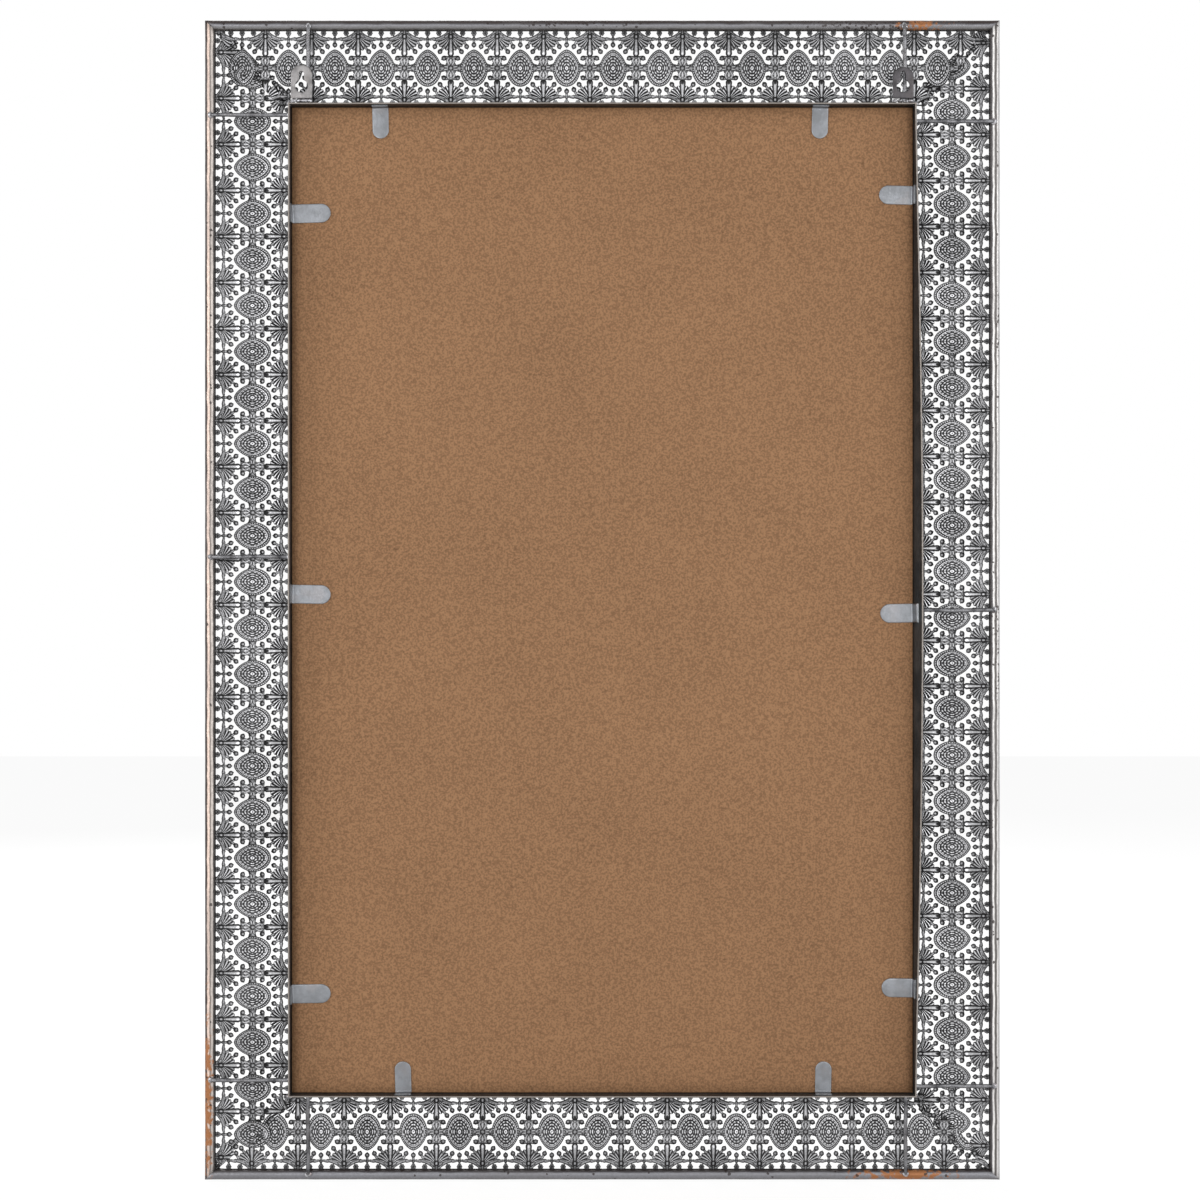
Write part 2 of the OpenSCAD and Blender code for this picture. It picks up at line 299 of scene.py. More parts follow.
def show(mesh: Mesh, finish: Material, nodes: Sequence[str]) -> None:
    """Makes a piece of a mesh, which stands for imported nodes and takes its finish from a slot.

    Args:
        mesh: the finished mesh, in place.
        finish: its material.
        nodes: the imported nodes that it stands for.
    """
    piece = bpy.data.objects.new(mesh.name, mesh)
    bpy.context.scene.collection.objects.link(piece)
    mesh.materials.append(finish)
    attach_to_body(piece, "root")
    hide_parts(*nodes)
    log.info("%s: %d vertices", piece.name, len(mesh.vertices))


# A cell of a pierced sheet's grid has corners 0 to 3, and crossings 4 to 7 on its lower, right, upper
# and left edges. For each set of corners in metal (1, 2, 4 and 8 added up), these are the faces that it
# leaves.
CELL_FACES: dict[int, list[list[int]]] = {
    1: [[0, 4, 7]],
    2: [[1, 5, 4]],
    3: [[0, 1, 5, 7]],
    4: [[2, 6, 5]],
    5: [[0, 4, 7], [2, 6, 5]],
    6: [[1, 2, 6, 4]],
    7: [[0, 1, 2, 6, 7]],
    8: [[3, 7, 6]],
    9: [[0, 4, 6, 3]],
    10: [[1, 5, 4], [3, 7, 6]],
    11: [[0, 1, 5, 6, 3]],
    12: [[2, 3, 7, 5]],
    13: [[0, 4, 5, 2, 3]],
    14: [[1, 2, 3, 7, 4]],
    15: [[0, 1, 2, 3]],
}
# The edges of those faces that run between two crossings
CELL_CUTS = {
    key: [
        [p, q]
        for polygon in polygons
        for p, q in zip(polygon, polygon[1:] + polygon[:1])
        if min(p, q) >= 4
    ]
    for key, polygons in CELL_FACES.items()
}


@dataclass
class PiercedSheet:
    """Flat metal left where a distance is negative, cut out of a grid cell by cell.

    Between two grid points on either side of an edge, the cut lies where the distance, taken as
    straight between them, is zero.
    """

    u: Floats
    v: Floats
    distance: Floats
    flat: Floats = field(init=False)
    faces: Rings = field(init=False)
    cuts: Ints = field(init=False)

    def __post_init__(self) -> None:
        """Works out the points, the faces and the cut edges."""
        d, inside = self.distance, self.distance < 0
        uu, vv = np.meshgrid(self.u, self.v, indexing="ij")
        along_u, along_v = inside[:-1] != inside[1:], inside[:, :-1] != inside[:, 1:]
        tu = self._share(d[:-1], d[1:])[along_u]
        tv = self._share(d[:, :-1], d[:, 1:])[along_v]
        cut_u = uu[:-1][along_u] * (1 - tu) + uu[1:][along_u] * tu
        cut_v = vv[:, :-1][along_v] * (1 - tv) + vv[:, 1:][along_v] * tv
        on_u = np.stack([cut_u, vv[:-1][along_u]], -1)
        on_v = np.stack([uu[:, :-1][along_v], cut_v], -1)
        self.flat = np.concatenate([np.stack([uu[inside], vv[inside]], -1), on_u, on_v])
        corner = self._numbers(inside, 0)
        low = self._numbers(along_u, int(inside.sum()))
        left = self._numbers(along_v, int(inside.sum() + along_u.sum()))
        ids = np.stack(
            [corner[:-1, :-1], corner[1:, :-1], corner[1:, 1:], corner[:-1, 1:]]
            + [low[:, :-1], left[1:], low[:, 1:], left[:-1]],
            -1,
        )
        case = inside[:-1, :-1] + 2 * inside[1:, :-1] + 4 * inside[1:, 1:] + 8 * inside[:-1, 1:]
        by_size: dict[int, list[Ints]] = {3: [], 4: [], 5: []}
        for key, polygons in CELL_FACES.items():
            for polygon in polygons:
                by_size[len(polygon)].append(ids[case == key][:, polygon])
        self.faces = [np.concatenate(group) for group in by_size.values()]
        pairs = [ids[case == key][:, pair] for key, cuts in CELL_CUTS.items() for pair in cuts]
        self.cuts = np.concatenate(pairs)

    @staticmethod
    def _share(first: Floats, second: Floats) -> Floats:
        """How far along an edge the distance is zero, kept off the ends so that no face is a sliver."""
        gap = np.where(first == second, 1.0, first - second)
        return np.clip(first / gap, SLIVER, 1 - SLIVER)

    @staticmethod
    def _numbers(chosen: NDArray[np.bool_], start: int) -> Ints:
        """Numbers the chosen places in order.

        Args:
            chosen: the places.
            start: the first number.

        Returns:
            The numbers, and -1 at the other places.
        """
        ids = np.full(chosen.shape, -1)
        ids[chosen] = start + np.arange(int(chosen.sum()))
        return ids

    def thick(self) -> tuple[Rings, list[bool]]:
        """Makes the thick sheet's faces: front, rear, then walls. Its rear points follow its front ones.

        Returns:
            The faces, and for each array whether it is shaded flat.
        """
        n = len(self.flat)
        rear = [ring[:, ::-1] + n for ring in self.faces]
        p, q = self.cuts[:, 0], self.cuts[:, 1]
        walls = np.stack([q, p, p + n, q + n], -1)
        return [*self.faces, *rear, walls], [False] * (2 * len(self.faces)) + [True]


@dataclass(frozen=True)
class Stroke:
    """A round-backed bar of the pattern.

    line holds the corners of its middle line, and radii its radius at both ends. rise is its height
    along the middle line. The rest is painted light and shade as well as colour: tone is how bright it
    is painted; next comes painted light, added on the outer half of the strip and taken off on the
    inner half; then a painted highlight that makes its middle brighter, and painted light for that
    highlight, added on the outer half and taken off on the inner half. tilt is painted shade: how much
    darker it gets towards the strip's edge, and how much towards the outside of the frame. The last
    field is painted shade on its very edge: how much darker that edge is.
    """

    line: tuple[Pair, ...]
    radii: Pair
    rise: float
    tone: float = 0.5
    outer_painted_light: float = 0.0
    painted_highlight: float = 0.15
    outer_painted_highlight: float = 0.0
    tilt: Pair = (0.0, 0.15)
    painted_edge_shade: float = 0.8


@dataclass
class Relief:
    """Shapes laid over each other: the metal is their union, and its height is the highest of them.

    A shape also brings its tone, a brightness that holds painted light and shade, which covers that of
    the shapes under it. ribs holds a count of ribs, the distance from their root and the strength of
    their painted light and shade, and rings a share of the way out, an angle and the strength of
    theirs. Ribs leave out the parts that later shapes cover.
    """

    x: Floats
    half: Floats
    distance: Floats = field(init=False)
    height: Floats = field(init=False)
    tone: Floats = field(init=False)
    ribs: Floats = field(init=False)
    rings: Floats = field(init=False)

    def __post_init__(self) -> None:
        """Starts with no metal."""
        self.distance = np.full(self.x.shape, FAR)
        self.height = np.zeros(self.x.shape)
        self.tone = np.zeros(self.x.shape)
        self.ribs = np.zeros((*self.x.shape, 3))
        self.rings = np.zeros((*self.x.shape, 3))

    def lay(self, distance: Floats, height: Floats, tone: Floats) -> None:
        """Adds a shape.

        Args:
            distance: signed distance to its outline, negative inside it.
            height: its height, used inside it alone.
            tone: its tone, used inside it alone.
        """
        inside = distance < 0
        self.distance = np.minimum(self.distance, distance)
        self.height = np.maximum(self.height, np.where(inside, height, 0))
        self.tone = np.where(inside, tone, self.tone)
        self.ribs[..., 2] *= ~inside

    def draw(self, x: Floats, y: Floats, strokes: Iterable[Stroke]) -> None:
        """Lays strokes in their order.

        The distance is that to the nearest point of the stroke's line, less the radius there, and the
        height is part of a circle across it.

        Args:
            x: first coordinate of each point.
            y: second coordinate.
            strokes: the strokes, in the same coordinates.
        """
        for stroke in strokes:
            best, across, radius = np.full(x.shape, FAR), np.zeros(x.shape), np.ones(x.shape)
            steps = len(stroke.line) - 1
            for k, (p, q) in enumerate(zip(stroke.line[:-1], stroke.line[1:])):
                dx, dy = q[0] - p[0], q[1] - p[1]
                t = np.clip(((x - p[0]) * dx + (y - p[1]) * dy) / (dx * dx + dy * dy + 1e-9), 0, 1)
                r = stroke.radii[0] + (stroke.radii[1] - stroke.radii[0]) * (k + t) / steps
                d = np.hypot(x - p[0] - t * dx, y - p[1] - t * dy) - r
                across = np.where(d < best, (y - p[1] - t * dy) / r, across)
                radius = np.where(d < best, r, radius)
                best = np.minimum(best, d)
            dome = np.clip(1 - np.clip(1 + best / radius, 0, 1) ** 2, 0, 1)
            # The level is painted light and shade: lighter on the outer half of the strip and darker on
            # the inner, a painted highlight down the middle, painted shade to one side and on the very
            # edge.
            tone = stroke.tone + stroke.outer_painted_light * self.half
            painted_highlight = stroke.painted_highlight + stroke.outer_painted_highlight * self.half
            level = tone + painted_highlight * (2 * dome - 1) - (stroke.tilt[0] + stroke.tilt[1] * self.half) * across
            edge = smooth_step(-best / np.minimum(0.95, 0.8 * radius), 0.1, 1.0)
            self.lay(best, stroke.rise * np.sqrt(dome), level * (1 - stroke.painted_edge_shade * (1 - edge)))


@dataclass(frozen=True)
class Bead:
    """A bead in the openings round a medallion: its place, and where its stalk meets the metal."""

    place: Pair
    root: Pair
    tail: float = 2.4
    radius: float = 1.95
    lit_radius: float = 1.3

    def strokes(self) -> tuple[Stroke, ...]:
        """Draws a short tail inwards, a stalk outwards, and the bead itself: a rim of painted shade round
        a painted lit middle.

        Returns:
            The strokes, in the order in which they are laid.
        """
        u, v = self.place
        end = 1 - self.tail / float(np.hypot(u, v))
        dot = (self.place, self.place)
        lit = (self.lit_radius, self.lit_radius)
        return (
            Stroke((self.place, (u * end, v * end)), (1.3, 0.2), 0.3, tone=0.35, painted_edge_shade=0.5),
            Stroke((self.place, self.root), (0.95, 1.0), 0.4, tone=0.48, painted_edge_shade=0.25),
            Stroke(dot, (self.radius, self.radius), 0.95, tone=0.18, painted_highlight=0.0, painted_edge_shade=0.3),
            Stroke(dot, lit, 0.95, 0.5, 0.04, 0.12, -0.06, tilt=(-0.1, 0.22), painted_edge_shade=0.3),
        )


@dataclass(frozen=True)
class Ornament:
    """One repeat of the filigree, in millimetres, mirrored along the strip about a medallion.

    The flower, the club and the rim are drawn from the middle between two medallions, the rest from a
    medallion.
    """

    repeat: float = 36.4
    half_w: float = 29.2
    selvage: float = 0.4
    medallion: Pair = (10.9, 14.6)
    roundness: Pair = (1.6, 2.0)
    ring_roundness: float = 1.65
    fan_root: float = 25.6
    fan_reach: float = 12.2
    fan_first: float = 0.17
    fan_step: float = 0.245
    fan_bend: float = 0.018
    fan_side_bend: float = 0.006
    fan_petals: float = 4.8
    rosettes: tuple[float, ...] = (0.0, 8.9)
    rosette_v: float = 27.3
    rosette_r: float = 2.1
    dots_r: float = 1.35
    rim_bend: tuple[Pair, Pair, Pair] = ((0.6, 29.6), (5.2, 23.6), (12.8, 22.4))
    beads: tuple[Bead, ...] = (
        Bead((0.0, 18.2), (0.0, 21.5)),
        Bead((5.7, 16.9), (7.6, 20.6)),
        Bead((9.8, 12.9), (12.6, 16.3)),
        Bead((12.75, 7.7), (15.0, 8.4)),
    )
    flower: tuple[Stroke, ...] = (
        Stroke(((0, 2.0), (0, 4.6)), (1.3, 3.2), 0.25, painted_highlight=0.05, painted_edge_shade=0.6),
        Stroke(((0, 5.4), (0.9, 6.6)), (3.2, 2.8), 0.25, painted_highlight=0.05, painted_edge_shade=0.5),
        Stroke(((2.6, 8.2), (4.9, 8.9)), (1.2, 0.8), 0.55, painted_edge_shade=0.2),
        Stroke(((1.0, 0), (7.6, 0)), (1.6, 3.3), 0.2, painted_highlight=0.05, painted_edge_shade=0.5),
        Stroke(((0.4, 0.4), (2.4, 2.8)), (1.6, 1.6), 0.25, tone=0.42, painted_highlight=0.05, painted_edge_shade=0.5),
        Stroke(((1.2, 2.6), (2.9, 5.4), (1.9, 8.0)), (0.9, 0.9), 0.6, tone=0.6, painted_edge_shade=0.55),
        Stroke(((0, 3.4), (0, 6.4)), (0.8, 1.3), 0.7, tone=0.62, painted_highlight=0.2, painted_edge_shade=0.6),
        Stroke(((2.6, 0.9), (5.6, 1.2)), (0.9, 1.3), 0.6, tone=0.56, painted_edge_shade=0.6),
        Stroke(((5.9, 0.7), (8.4, 3.4)), (0.8, 0.7), 0.55, tone=0.52, painted_edge_shade=0.5),
        Stroke(((0, 0), (0, 0)), (1.9, 1.9), 0.75, painted_highlight=0.1),
    )
    # The club and its root bead each have a painted dark outline of shade round a lighter core, and the
    # club's end a painted highlight on the outer half of the strip and painted shade on the inner one.
    club: tuple[Stroke, ...] = (
        Stroke(((0, 8.2), (0, 10.5)), (1.5, 1.9), 0.3, painted_edge_shade=0.4),
        Stroke(((0.4, 26.6), (4.0, 24.9)), (1.4, 1.2), 0.3, tone=0.45, painted_edge_shade=0.4),
        Stroke(((0, 11.4), (0, 22.4)), (2.5, 1.7), 0.95, tone=0.14, painted_highlight=0.0, painted_edge_shade=0.3),
        Stroke(((0, 11.6), (0, 22.4)), (1.7, 0.9), 0.95, 0.6, -0.02, painted_highlight=0.1, painted_edge_shade=0.4),
        Stroke(((0, 24.7), (0, 29.2)), (1.6, 0.9), 0.5, tone=0.4),
        Stroke(((0, 11.2), (0, 12.6)), (1.0, 0.6), 0.95, outer_painted_light=0.35, painted_highlight=0.1, painted_edge_shade=0.0),
        Stroke(((0, 24.7), (0, 24.7)), (2.3, 2.3), 0.95, tone=0.1, painted_highlight=0.0, painted_edge_shade=0.5),
        Stroke(((0, 24.3), (0, 25.2)), (0.95, 0.95), 0.95, 0.62, painted_highlight=0.1, tilt=(0.0, 0.1), painted_edge_shade=0.4),
    )
    leaf: tuple[Stroke, ...] = (
        Stroke(((2.4, 22.3), (0, 22.9)), (0.8, 0.8), 0.4, tone=0.45, painted_edge_shade=0.5),
        Stroke(((2.9, 22.7), (5.2, 22.9)), (1.0, 1.3), 0.55, painted_highlight=0.1, tilt=(0.3, -0.1), painted_edge_shade=0.5),
        Stroke(((0, 21.0), (0, 27.0)), (0.8, 0.7), 0.45, tone=0.4, painted_edge_shade=0.5),
        Stroke(((0, 22.9), (0, 22.9)), (1.3, 1.3), 0.6, tone=0.4, painted_edge_shade=0.6),
    )
    tip: Stroke = Stroke(((9.6, 0), (12.4, 0)), (3.3, 1.3), 0.4, tone=0.52, painted_highlight=0.05, painted_edge_shade=0.5)

    def relief(self, u: Floats, v: Floats) -> Relief:
        """The pattern's shapes at each point of the strip.

        Args:
            u: places along the strip from the middle of a medallion.
            v: places across it from its middle line, outwards positive.

        Returns:
            The shapes laid at those points.
        """
        u = np.abs((u + self.repeat / 2) % self.repeat - self.repeat / 2)
        half = np.where(v > 0, 1.0, -1.0)
        v = np.abs(v)
        w = self.repeat / 2 - u
        metal = Relief(u, half)
        self._fan(metal, w, v)
        metal.draw(w, v, [self._rim()])
        metal.draw(u, v, self.leaf)
        for place in self.rosettes:
            self._rosette(metal, u - place, v - self.rosette_v)
        metal.lay(self.half_w - self.selvage - v, np.full(v.shape, 0.05), np.full(v.shape, 0.15))
        metal.draw(w, v, self.club)
        metal.draw(w, v, self.flower)
        for bead in self.beads:
            metal.draw(u, v, bead.strokes())
        metal.draw(u, v, [self.tip])
        self._medallion(metal, u, v)
        return metal

    def _fan(self, metal: Relief, w: Floats, v: Floats) -> None:
        """Lays a filled fan of ribs about its root.

        The angle about the root, bent with the distance, counts the ribs; each rib is a rounded ridge,
        and its tip reaches out farthest on its middle line.

        Args:
            metal: takes the fan.
            w: places along the strip from the middle between two medallions.
            v: places across it from its middle line.
        """
        up = self.fan_root - v
        r = np.hypot(w, up)
        angle = np.arctan2(w, up)
        p = (angle - self.fan_side_bend * (r - 8) - self.fan_first) / self.fan_step
        off = np.abs(2 * (p - np.floor(p)) - 1)
        reach = self.fan_reach + 0.1 * np.clip(p, 0, 6) - off**2.2
        edge = np.maximum(-p, p - self.fan_petals) * self.fan_step * np.maximum(r, 1)
        distance = np.maximum(r - reach, edge)
        ridge = np.sqrt(np.clip(1 - off**1.6, 0, 1)) - 0.6
        # Painted shade: the fan is darker near its cut edge.
        tone = 0.5 * (0.35 + 0.65 * smooth_step(-distance, 0.1, 0.9))
        metal.lay(distance, 0.5 + 0.6 * ridge * smooth_step(r, 3.5, 7), tone)
        count = (angle - self.fan_bend * (r - 12) - self.fan_first) / self.fan_step
        # The ribs' painted light and shade is stronger on the inner half of the strip.
        strength = (1.45 - 0.45 * metal.half) * smooth_step(-distance, 0, 0.5)
        metal.ribs = np.stack([count, r, strength], -1)

    def _rim(self) -> Stroke:
        """Draws the rim along a quadratic curve, between two points and pulled by a third.

        Returns:
            The rim's stroke.
        """
        t = np.linspace(0, 1, 9)[:, None]
        ends = np.array(self.rim_bend)
        line = (1 - t) ** 2 * ends[0] + 2 * t * (1 - t) * ends[1] + t**2 * ends[2]
        corners = tuple((p[0], p[1]) for p in line)
        return Stroke(corners, (1.05, 1.3), 0.6, outer_painted_light=0.05, painted_highlight=0.0, tilt=(0.3, -0.1), painted_edge_shade=0.5)

    def _rosette(self, metal: Relief, u: Floats, v: Floats) -> None:
        """Lays a small rosette of six dots round a middle one, whose outline swings out at each dot.

        Args:
            metal: takes the rosette.
            u: places along the strip from its middle.
            v: places across the strip from its middle.
        """
        r = np.hypot(u, v)
        turn = np.cos(6 * np.arctan2(v, u))
        dots = np.clip(1 - ((r - self.dots_r) / 0.8) ** 2, 0, 1) * (0.5 + 0.5 * turn)
        # Painted light: the dots are painted brighter, and the rosette a little darker on the outer half
        # of the strip.
        tone = 0.26 + 0.4 * dots - 0.06 * metal.half
        dots = dots + np.clip(1 - (r / 0.6) ** 2, 0, 1)
        metal.lay(r - self.rosette_r - 0.2 * turn, 0.1 + 0.5 * dots, tone)

    def _rho(self, u: Floats, v: Floats, n: Floats | float) -> Floats:
        """The n-th root of |u/a|^n + |v/b|^n, which is one on a medallion's outline."""
        a, b = self.medallion
        return ((np.abs(u) / a) ** n + (np.abs(v) / b) ** n) ** (1 / n)

    def medallion_distance(self, u: Floats, v: Floats, half: Floats) -> Floats:
        """Distance to a medallion's outline: the share of the way out, less one, times about its radius.

        Args:
            u: places along the strip from its middle.
            v: places across it.
            half: positive on the outer half of the strip.

        Returns:
            The distance, negative inside the medallion.
        """
        a, b = self.medallion
        n = np.where(half > 0, *self.roundness)
        return (self._rho(u, v, n) - 1) * (a + (b - a) * np.clip(np.abs(v) / b, 0, 1)) * 0.85

    def _medallion(self, metal: Relief, u: Floats, v: Floats) -> None:
        """Lays a domed lozenge whose rings are rounder at the rim than in the middle.

        Args:
            metal: takes the medallion.
            u: places along the strip from its middle.
            v: places across it.
        """
        a, b = self.medallion
        distance = self.medallion_distance(u, v, metal.half)
        rho = self._rho(u, v, np.where(metal.half > 0, *self.roundness))
        sharper = self._rho(u, v, self.ring_roundness)
        rho = rho + (sharper - rho) * (1 - smooth_step(rho, 0.75, 0.95))
        # Painted shade: the medallion is darker near its cut edge.
        tone = 0.48 * (0.3 + 0.7 * smooth_step(-distance, 0.1, 0.9))
        metal.lay(distance, 0.4 + 0.3 * np.clip(1 - rho**2, 0, 1), tone)
        # The rings' painted light and shade grows stronger towards the inner edge of the strip and weaker
        # towards the outer one.
        strength = (1.25 - 0.35 * metal.half * v / b) * smooth_step(-distance, 0.0, 0.3)
        metal.rings = np.stack([rho, np.arctan2(v / b, u / a), strength], -1)


class Wiring:
    """Adds nodes to one node tree and joins their sockets."""

    def __init__(self, tree: Tree) -> None:
        """Takes the tree to add to, and empties it."""
        self.tree = tree
        self.tree.nodes.clear()

    def feed(self, node: Node, inputs: Inputs) -> None:
        """Gives a node its inputs: a socket is joined, and a value is set, a colour with full alpha.

        Args:
            node: the node.
            inputs: for each input's name or number, a value or the socket to join to it.
        """
        for key, value in inputs.items():
            socket = node.inputs[key]
            if isinstance(value, Socket):
                self.tree.links.new(value, socket)
            elif socket.type == "RGBA":
                socket.default_value = (*value, 1)
            else:
                socket.default_value = value

    def add(self, kind: str, inputs: Inputs | None = None, **settings: object) -> Node:
        """Adds a node.

        Args:
            kind: its Blender type.
            inputs: for each input's name or number, a value or the socket to join to it.
            settings: the node's own settings.

        Returns:
            The new node.
        """
        node = self.tree.nodes.new(kind)
        node.location = (180 * len(self.tree.nodes), 0)
        for name, value in settings.items():
            setattr(node, name, value)
        self.feed(node, inputs or {})
        return node

    def math(self, kind: str, *values: Socket | float, clamp: bool = False) -> Socket:
        """Adds a Math node of that kind and returns its result."""
        inputs = dict(enumerate(values))
        return self.add("ShaderNodeMath", inputs, operation=kind, use_clamp=clamp).outputs[0]

    def vector(self, kind: str, *values: Socket) -> Socket:
        """Adds a Vector Math node of that kind and returns its vector."""
        return self.add("ShaderNodeVectorMath", dict(enumerate(values)), operation=kind).outputs[0]

    def about(self, value: Socket, middle: float, strength: Socket | float) -> Socket:
        """Returns how far a value is from a middle one, times a strength."""
        return self.math("MULTIPLY", self.math("SUBTRACT", value, middle), strength)

    def mix(self, share: Socket | float, first: Socket | Colour, second: Socket | Colour) -> Socket:
        """Mixes two colours and returns the result."""
        return self.add("ShaderNodeMix", {0: share, 6: first, 7: second}, data_type="RGBA").outputs[2]

    def ramp(self, share: Socket, stops: Sequence[tuple[float, Colour]]) -> Socket:
        """Reads a colour ramp.

        Args:
            share: the place on the ramp.
            stops: each stop's place and colour.

        Returns:
            The colour.
        """
        node = self.add("ShaderNodeValToRGB", {0: share})
        bar = node.color_ramp
        while len(bar.elements) < len(stops):
            bar.elements.new(0.5)
        for element, (place, colour) in zip(bar.elements, stops):
            element.position = place
            element.color = (*colour, 1)
        return node.outputs[0]

    def span(self, value: Socket, low: float, high: float, to: Pair = (0, 1)) -> Socket:
        """Maps a value's range onto another, held at its ends, and returns the result."""
        inputs = {0: value, 1: low, 2: high, 3: to[0], 4: to[1]}
        return self.add("ShaderNodeMapRange", inputs).outputs[0]

    def noise(self, place: Socket, scale: Socket | float, detail: float) -> Socket:
        """Returns a noise that lies about a half."""
        return self.add("ShaderNodeTexNoise", {0: place, "Scale": scale, "Detail": detail}).outputs[0]

    def here(self) -> Socket:
        """Returns the object's own coordinates."""
        return self.add("ShaderNodeTexCoord").outputs["Object"]

    def attribute(self, name: str) -> Node:
        """Returns a node that reads a mesh attribute: a vector by output 1, a number by output 2."""
        return self.add("ShaderNodeAttribute", attribute_name=name, attribute_type="GEOMETRY")

    def use(self, group: Tree, **inputs: object) -> Socket:
        """Places a shared effect with its own values and returns its mask."""
        return self.add("ShaderNodeGroup", inputs, node_tree=group).outputs[0]


class Effects:
    """Shared surface effects, each a node group that puts out a mask between 0 and 1."""

    def __init__(self) -> None:
        """Builds every effect once."""
        self.mottle = self._mottle()
        self.speckle = self._speckle()
        self.front = self._front()
        self.spot = self._spot()

    @staticmethod
    def _group(name: str, **defaults: float | Triple) -> tuple[Wiring, bpy.types.NodeOutputs]:
        """Starts a group with one output called Mask.

        Args:
            name: the group's name.
            defaults: each input's name and its default, a number or a vector.

        Returns:
            The wiring of the group, and the sockets that its inputs come in by.
        """
        tree = bpy.data.node_groups.new(name, "ShaderNodeTree")
        for label, default in defaults.items():
            kind = "NodeSocketVector" if isinstance(default, tuple) else "NodeSocketFloat"
            socket = tree.interface.new_socket(label, in_out="INPUT", socket_type=kind)
            socket.default_value = default
        tree.interface.new_socket("Mask", in_out="OUTPUT", socket_type="NodeSocketFloat")
        wiring = Wiring(tree)
        return wiring, wiring.add("NodeGroupInput").outputs

    @staticmethod
    def _end(wiring: Wiring, mask: Socket) -> Tree:
        """Joins the mask to the group's output and returns the group."""
        wiring.add("NodeGroupOutput", {0: mask})
        return wiring.tree

    def _mottle(self) -> Tree:
        """Builds soft clouds, stretched along the object's axes.

        Returns:
            Their group.
        """
        w, given = self._group("Mottle", Scale=40.0, Low=0.4, High=0.6, Seed=0.0, Stretch=(1, 1, 1))
        moved = w.vector("ADD", w.vector("MULTIPLY", w.here(), given["Stretch"]), given["Seed"])
        inputs = {0: w.noise(moved, given["Scale"], 5.0), 1: given["Low"], 2: given["High"]}
        mapped = w.add("ShaderNodeMapRange", inputs, interpolation_type="SMOOTHSTEP")
        return self._end(w, mapped.outputs[0])

    def _speckle(self) -> Tree:
        """Builds small separate spots, near the centres of some Voronoi cells.

        Returns:
            Their group.
        """
        w, given = self._group("Speckle", Scale=400.0, Size=0.25, Share=0.3)
        here = w.here()
        cells = w.add("ShaderNodeTexVoronoi", {0: here, "Scale": given["Scale"]})
        chance = w.add("ShaderNodeSeparateColor", {0: cells.outputs[1]}).outputs[0]
        ragged = w.math("ADD", cells.outputs[0], w.about(w.noise(here, given["Scale"], 3.0), 0.5, 1.1))
        near = w.math("LESS_THAN", ragged, given["Size"])
        some = w.math("LESS_THAN", chance, given["Share"])
        return self._end(w, w.math("MULTIPLY", near, some))

    def _front(self) -> Tree:
        """Builds a mask of what lies in front of a depth, with a ragged border.

        Returns:
            Its group.
        """
        w, given = self._group("In front of a depth", Depth=-0.0135, Softness=0.002, Scale=60.0)
        here = w.here()
        depth = w.add("ShaderNodeSeparateXYZ", {0: here}).outputs[1]
        reach = w.math("MULTIPLY", given["Softness"], 3.0)
        ragged = w.about(w.noise(here, given["Scale"], 6.0), 0.5, reach)
        past = w.math("ADD", w.math("SUBTRACT", given["Depth"], depth), ragged)
        return self._end(w, w.math("ADD", w.math("DIVIDE", past, given["Softness"]), 0.5, clamp=True))

    def _spot(self) -> Tree:
        """Builds a worn spot with ragged edges, of a reach along each axis.

        Returns:
            Its group.
        """
        w, given = self._group("Worn spot", Place=(0, 0, 0), Reach=(0.01, 0.01, 0.01))
        here = w.here()
        share = w.vector("DIVIDE", w.vector("SUBTRACT", here, given["Place"]), given["Reach"])
        far = w.add("ShaderNodeVectorMath", {0: share}, operation="LENGTH").outputs["Value"]
        level = w.math("ADD", far, w.about(w.noise(here, 260.0, 6.0), 0.5, 4.5))
        return self._end(w, w.span(level, 1.1, 0.5))


@dataclass(frozen=True)
class Finish:
    """A surface finish. Each kind paints its own nodes, which feed one Principled shader."""

    name: str

    def material(self, effects: Effects) -> Material:
        """Makes the finish's material.

        Args:
            effects: the shared effects.

        Returns:
            The new material.
        """
        material = bpy.data.materials.new(self.name)
        material.use_nodes = True
        wiring = Wiring(material.node_tree)
        shader = wiring.add("ShaderNodeBsdfPrincipled")
        wiring.feed(shader, self.paint(wiring, effects))
        wiring.add("ShaderNodeOutputMaterial", {0: shader.outputs[0]})
        return material

    def paint(self, w: Wiring, effects: Effects) -> Inputs:
        """Adds the finish's own nodes.

        Args:
            w: the material's wiring.
            effects: the shared effects.

        Returns:
            The shader's inputs.
        """
        return {}

    @staticmethod
    def bump(w: Wiring, height: Socket, strength: float, reach: float) -> Socket:
        """Turns a height into a normal, as a relief of that reach in metres."""
        inputs = {"Strength": strength, "Distance": reach, "Height": height}
        return w.add("ShaderNodeBump", inputs).outputs[0]


class RailTone(Enum):
    """The colours that lie in bands round the rails, some of them painted highlights and painted shade.
    """

    UMBER = (0.03, 0.018, 0.015)
    DARK = (0.03, 0.018, 0.014)
    SLATE = (0.07, 0.065, 0.07)
    GREY = (0.24, 0.24, 0.26)
    STEEL = (0.2, 0.195, 0.195)
    IRON = (0.18, 0.175, 0.18)
    ROSE = (0.8, 0.63, 0.54)
    PALE = (0.6, 0.54, 0.5)
    DIM = (0.1, 0.083, 0.073)
    LEAD = (0.1, 0.09, 0.085)
    WHITE = (0.9, 0.88, 0.86)
    ASH = (0.4, 0.39, 0.39)
    MIST = (0.72, 0.7, 0.69)


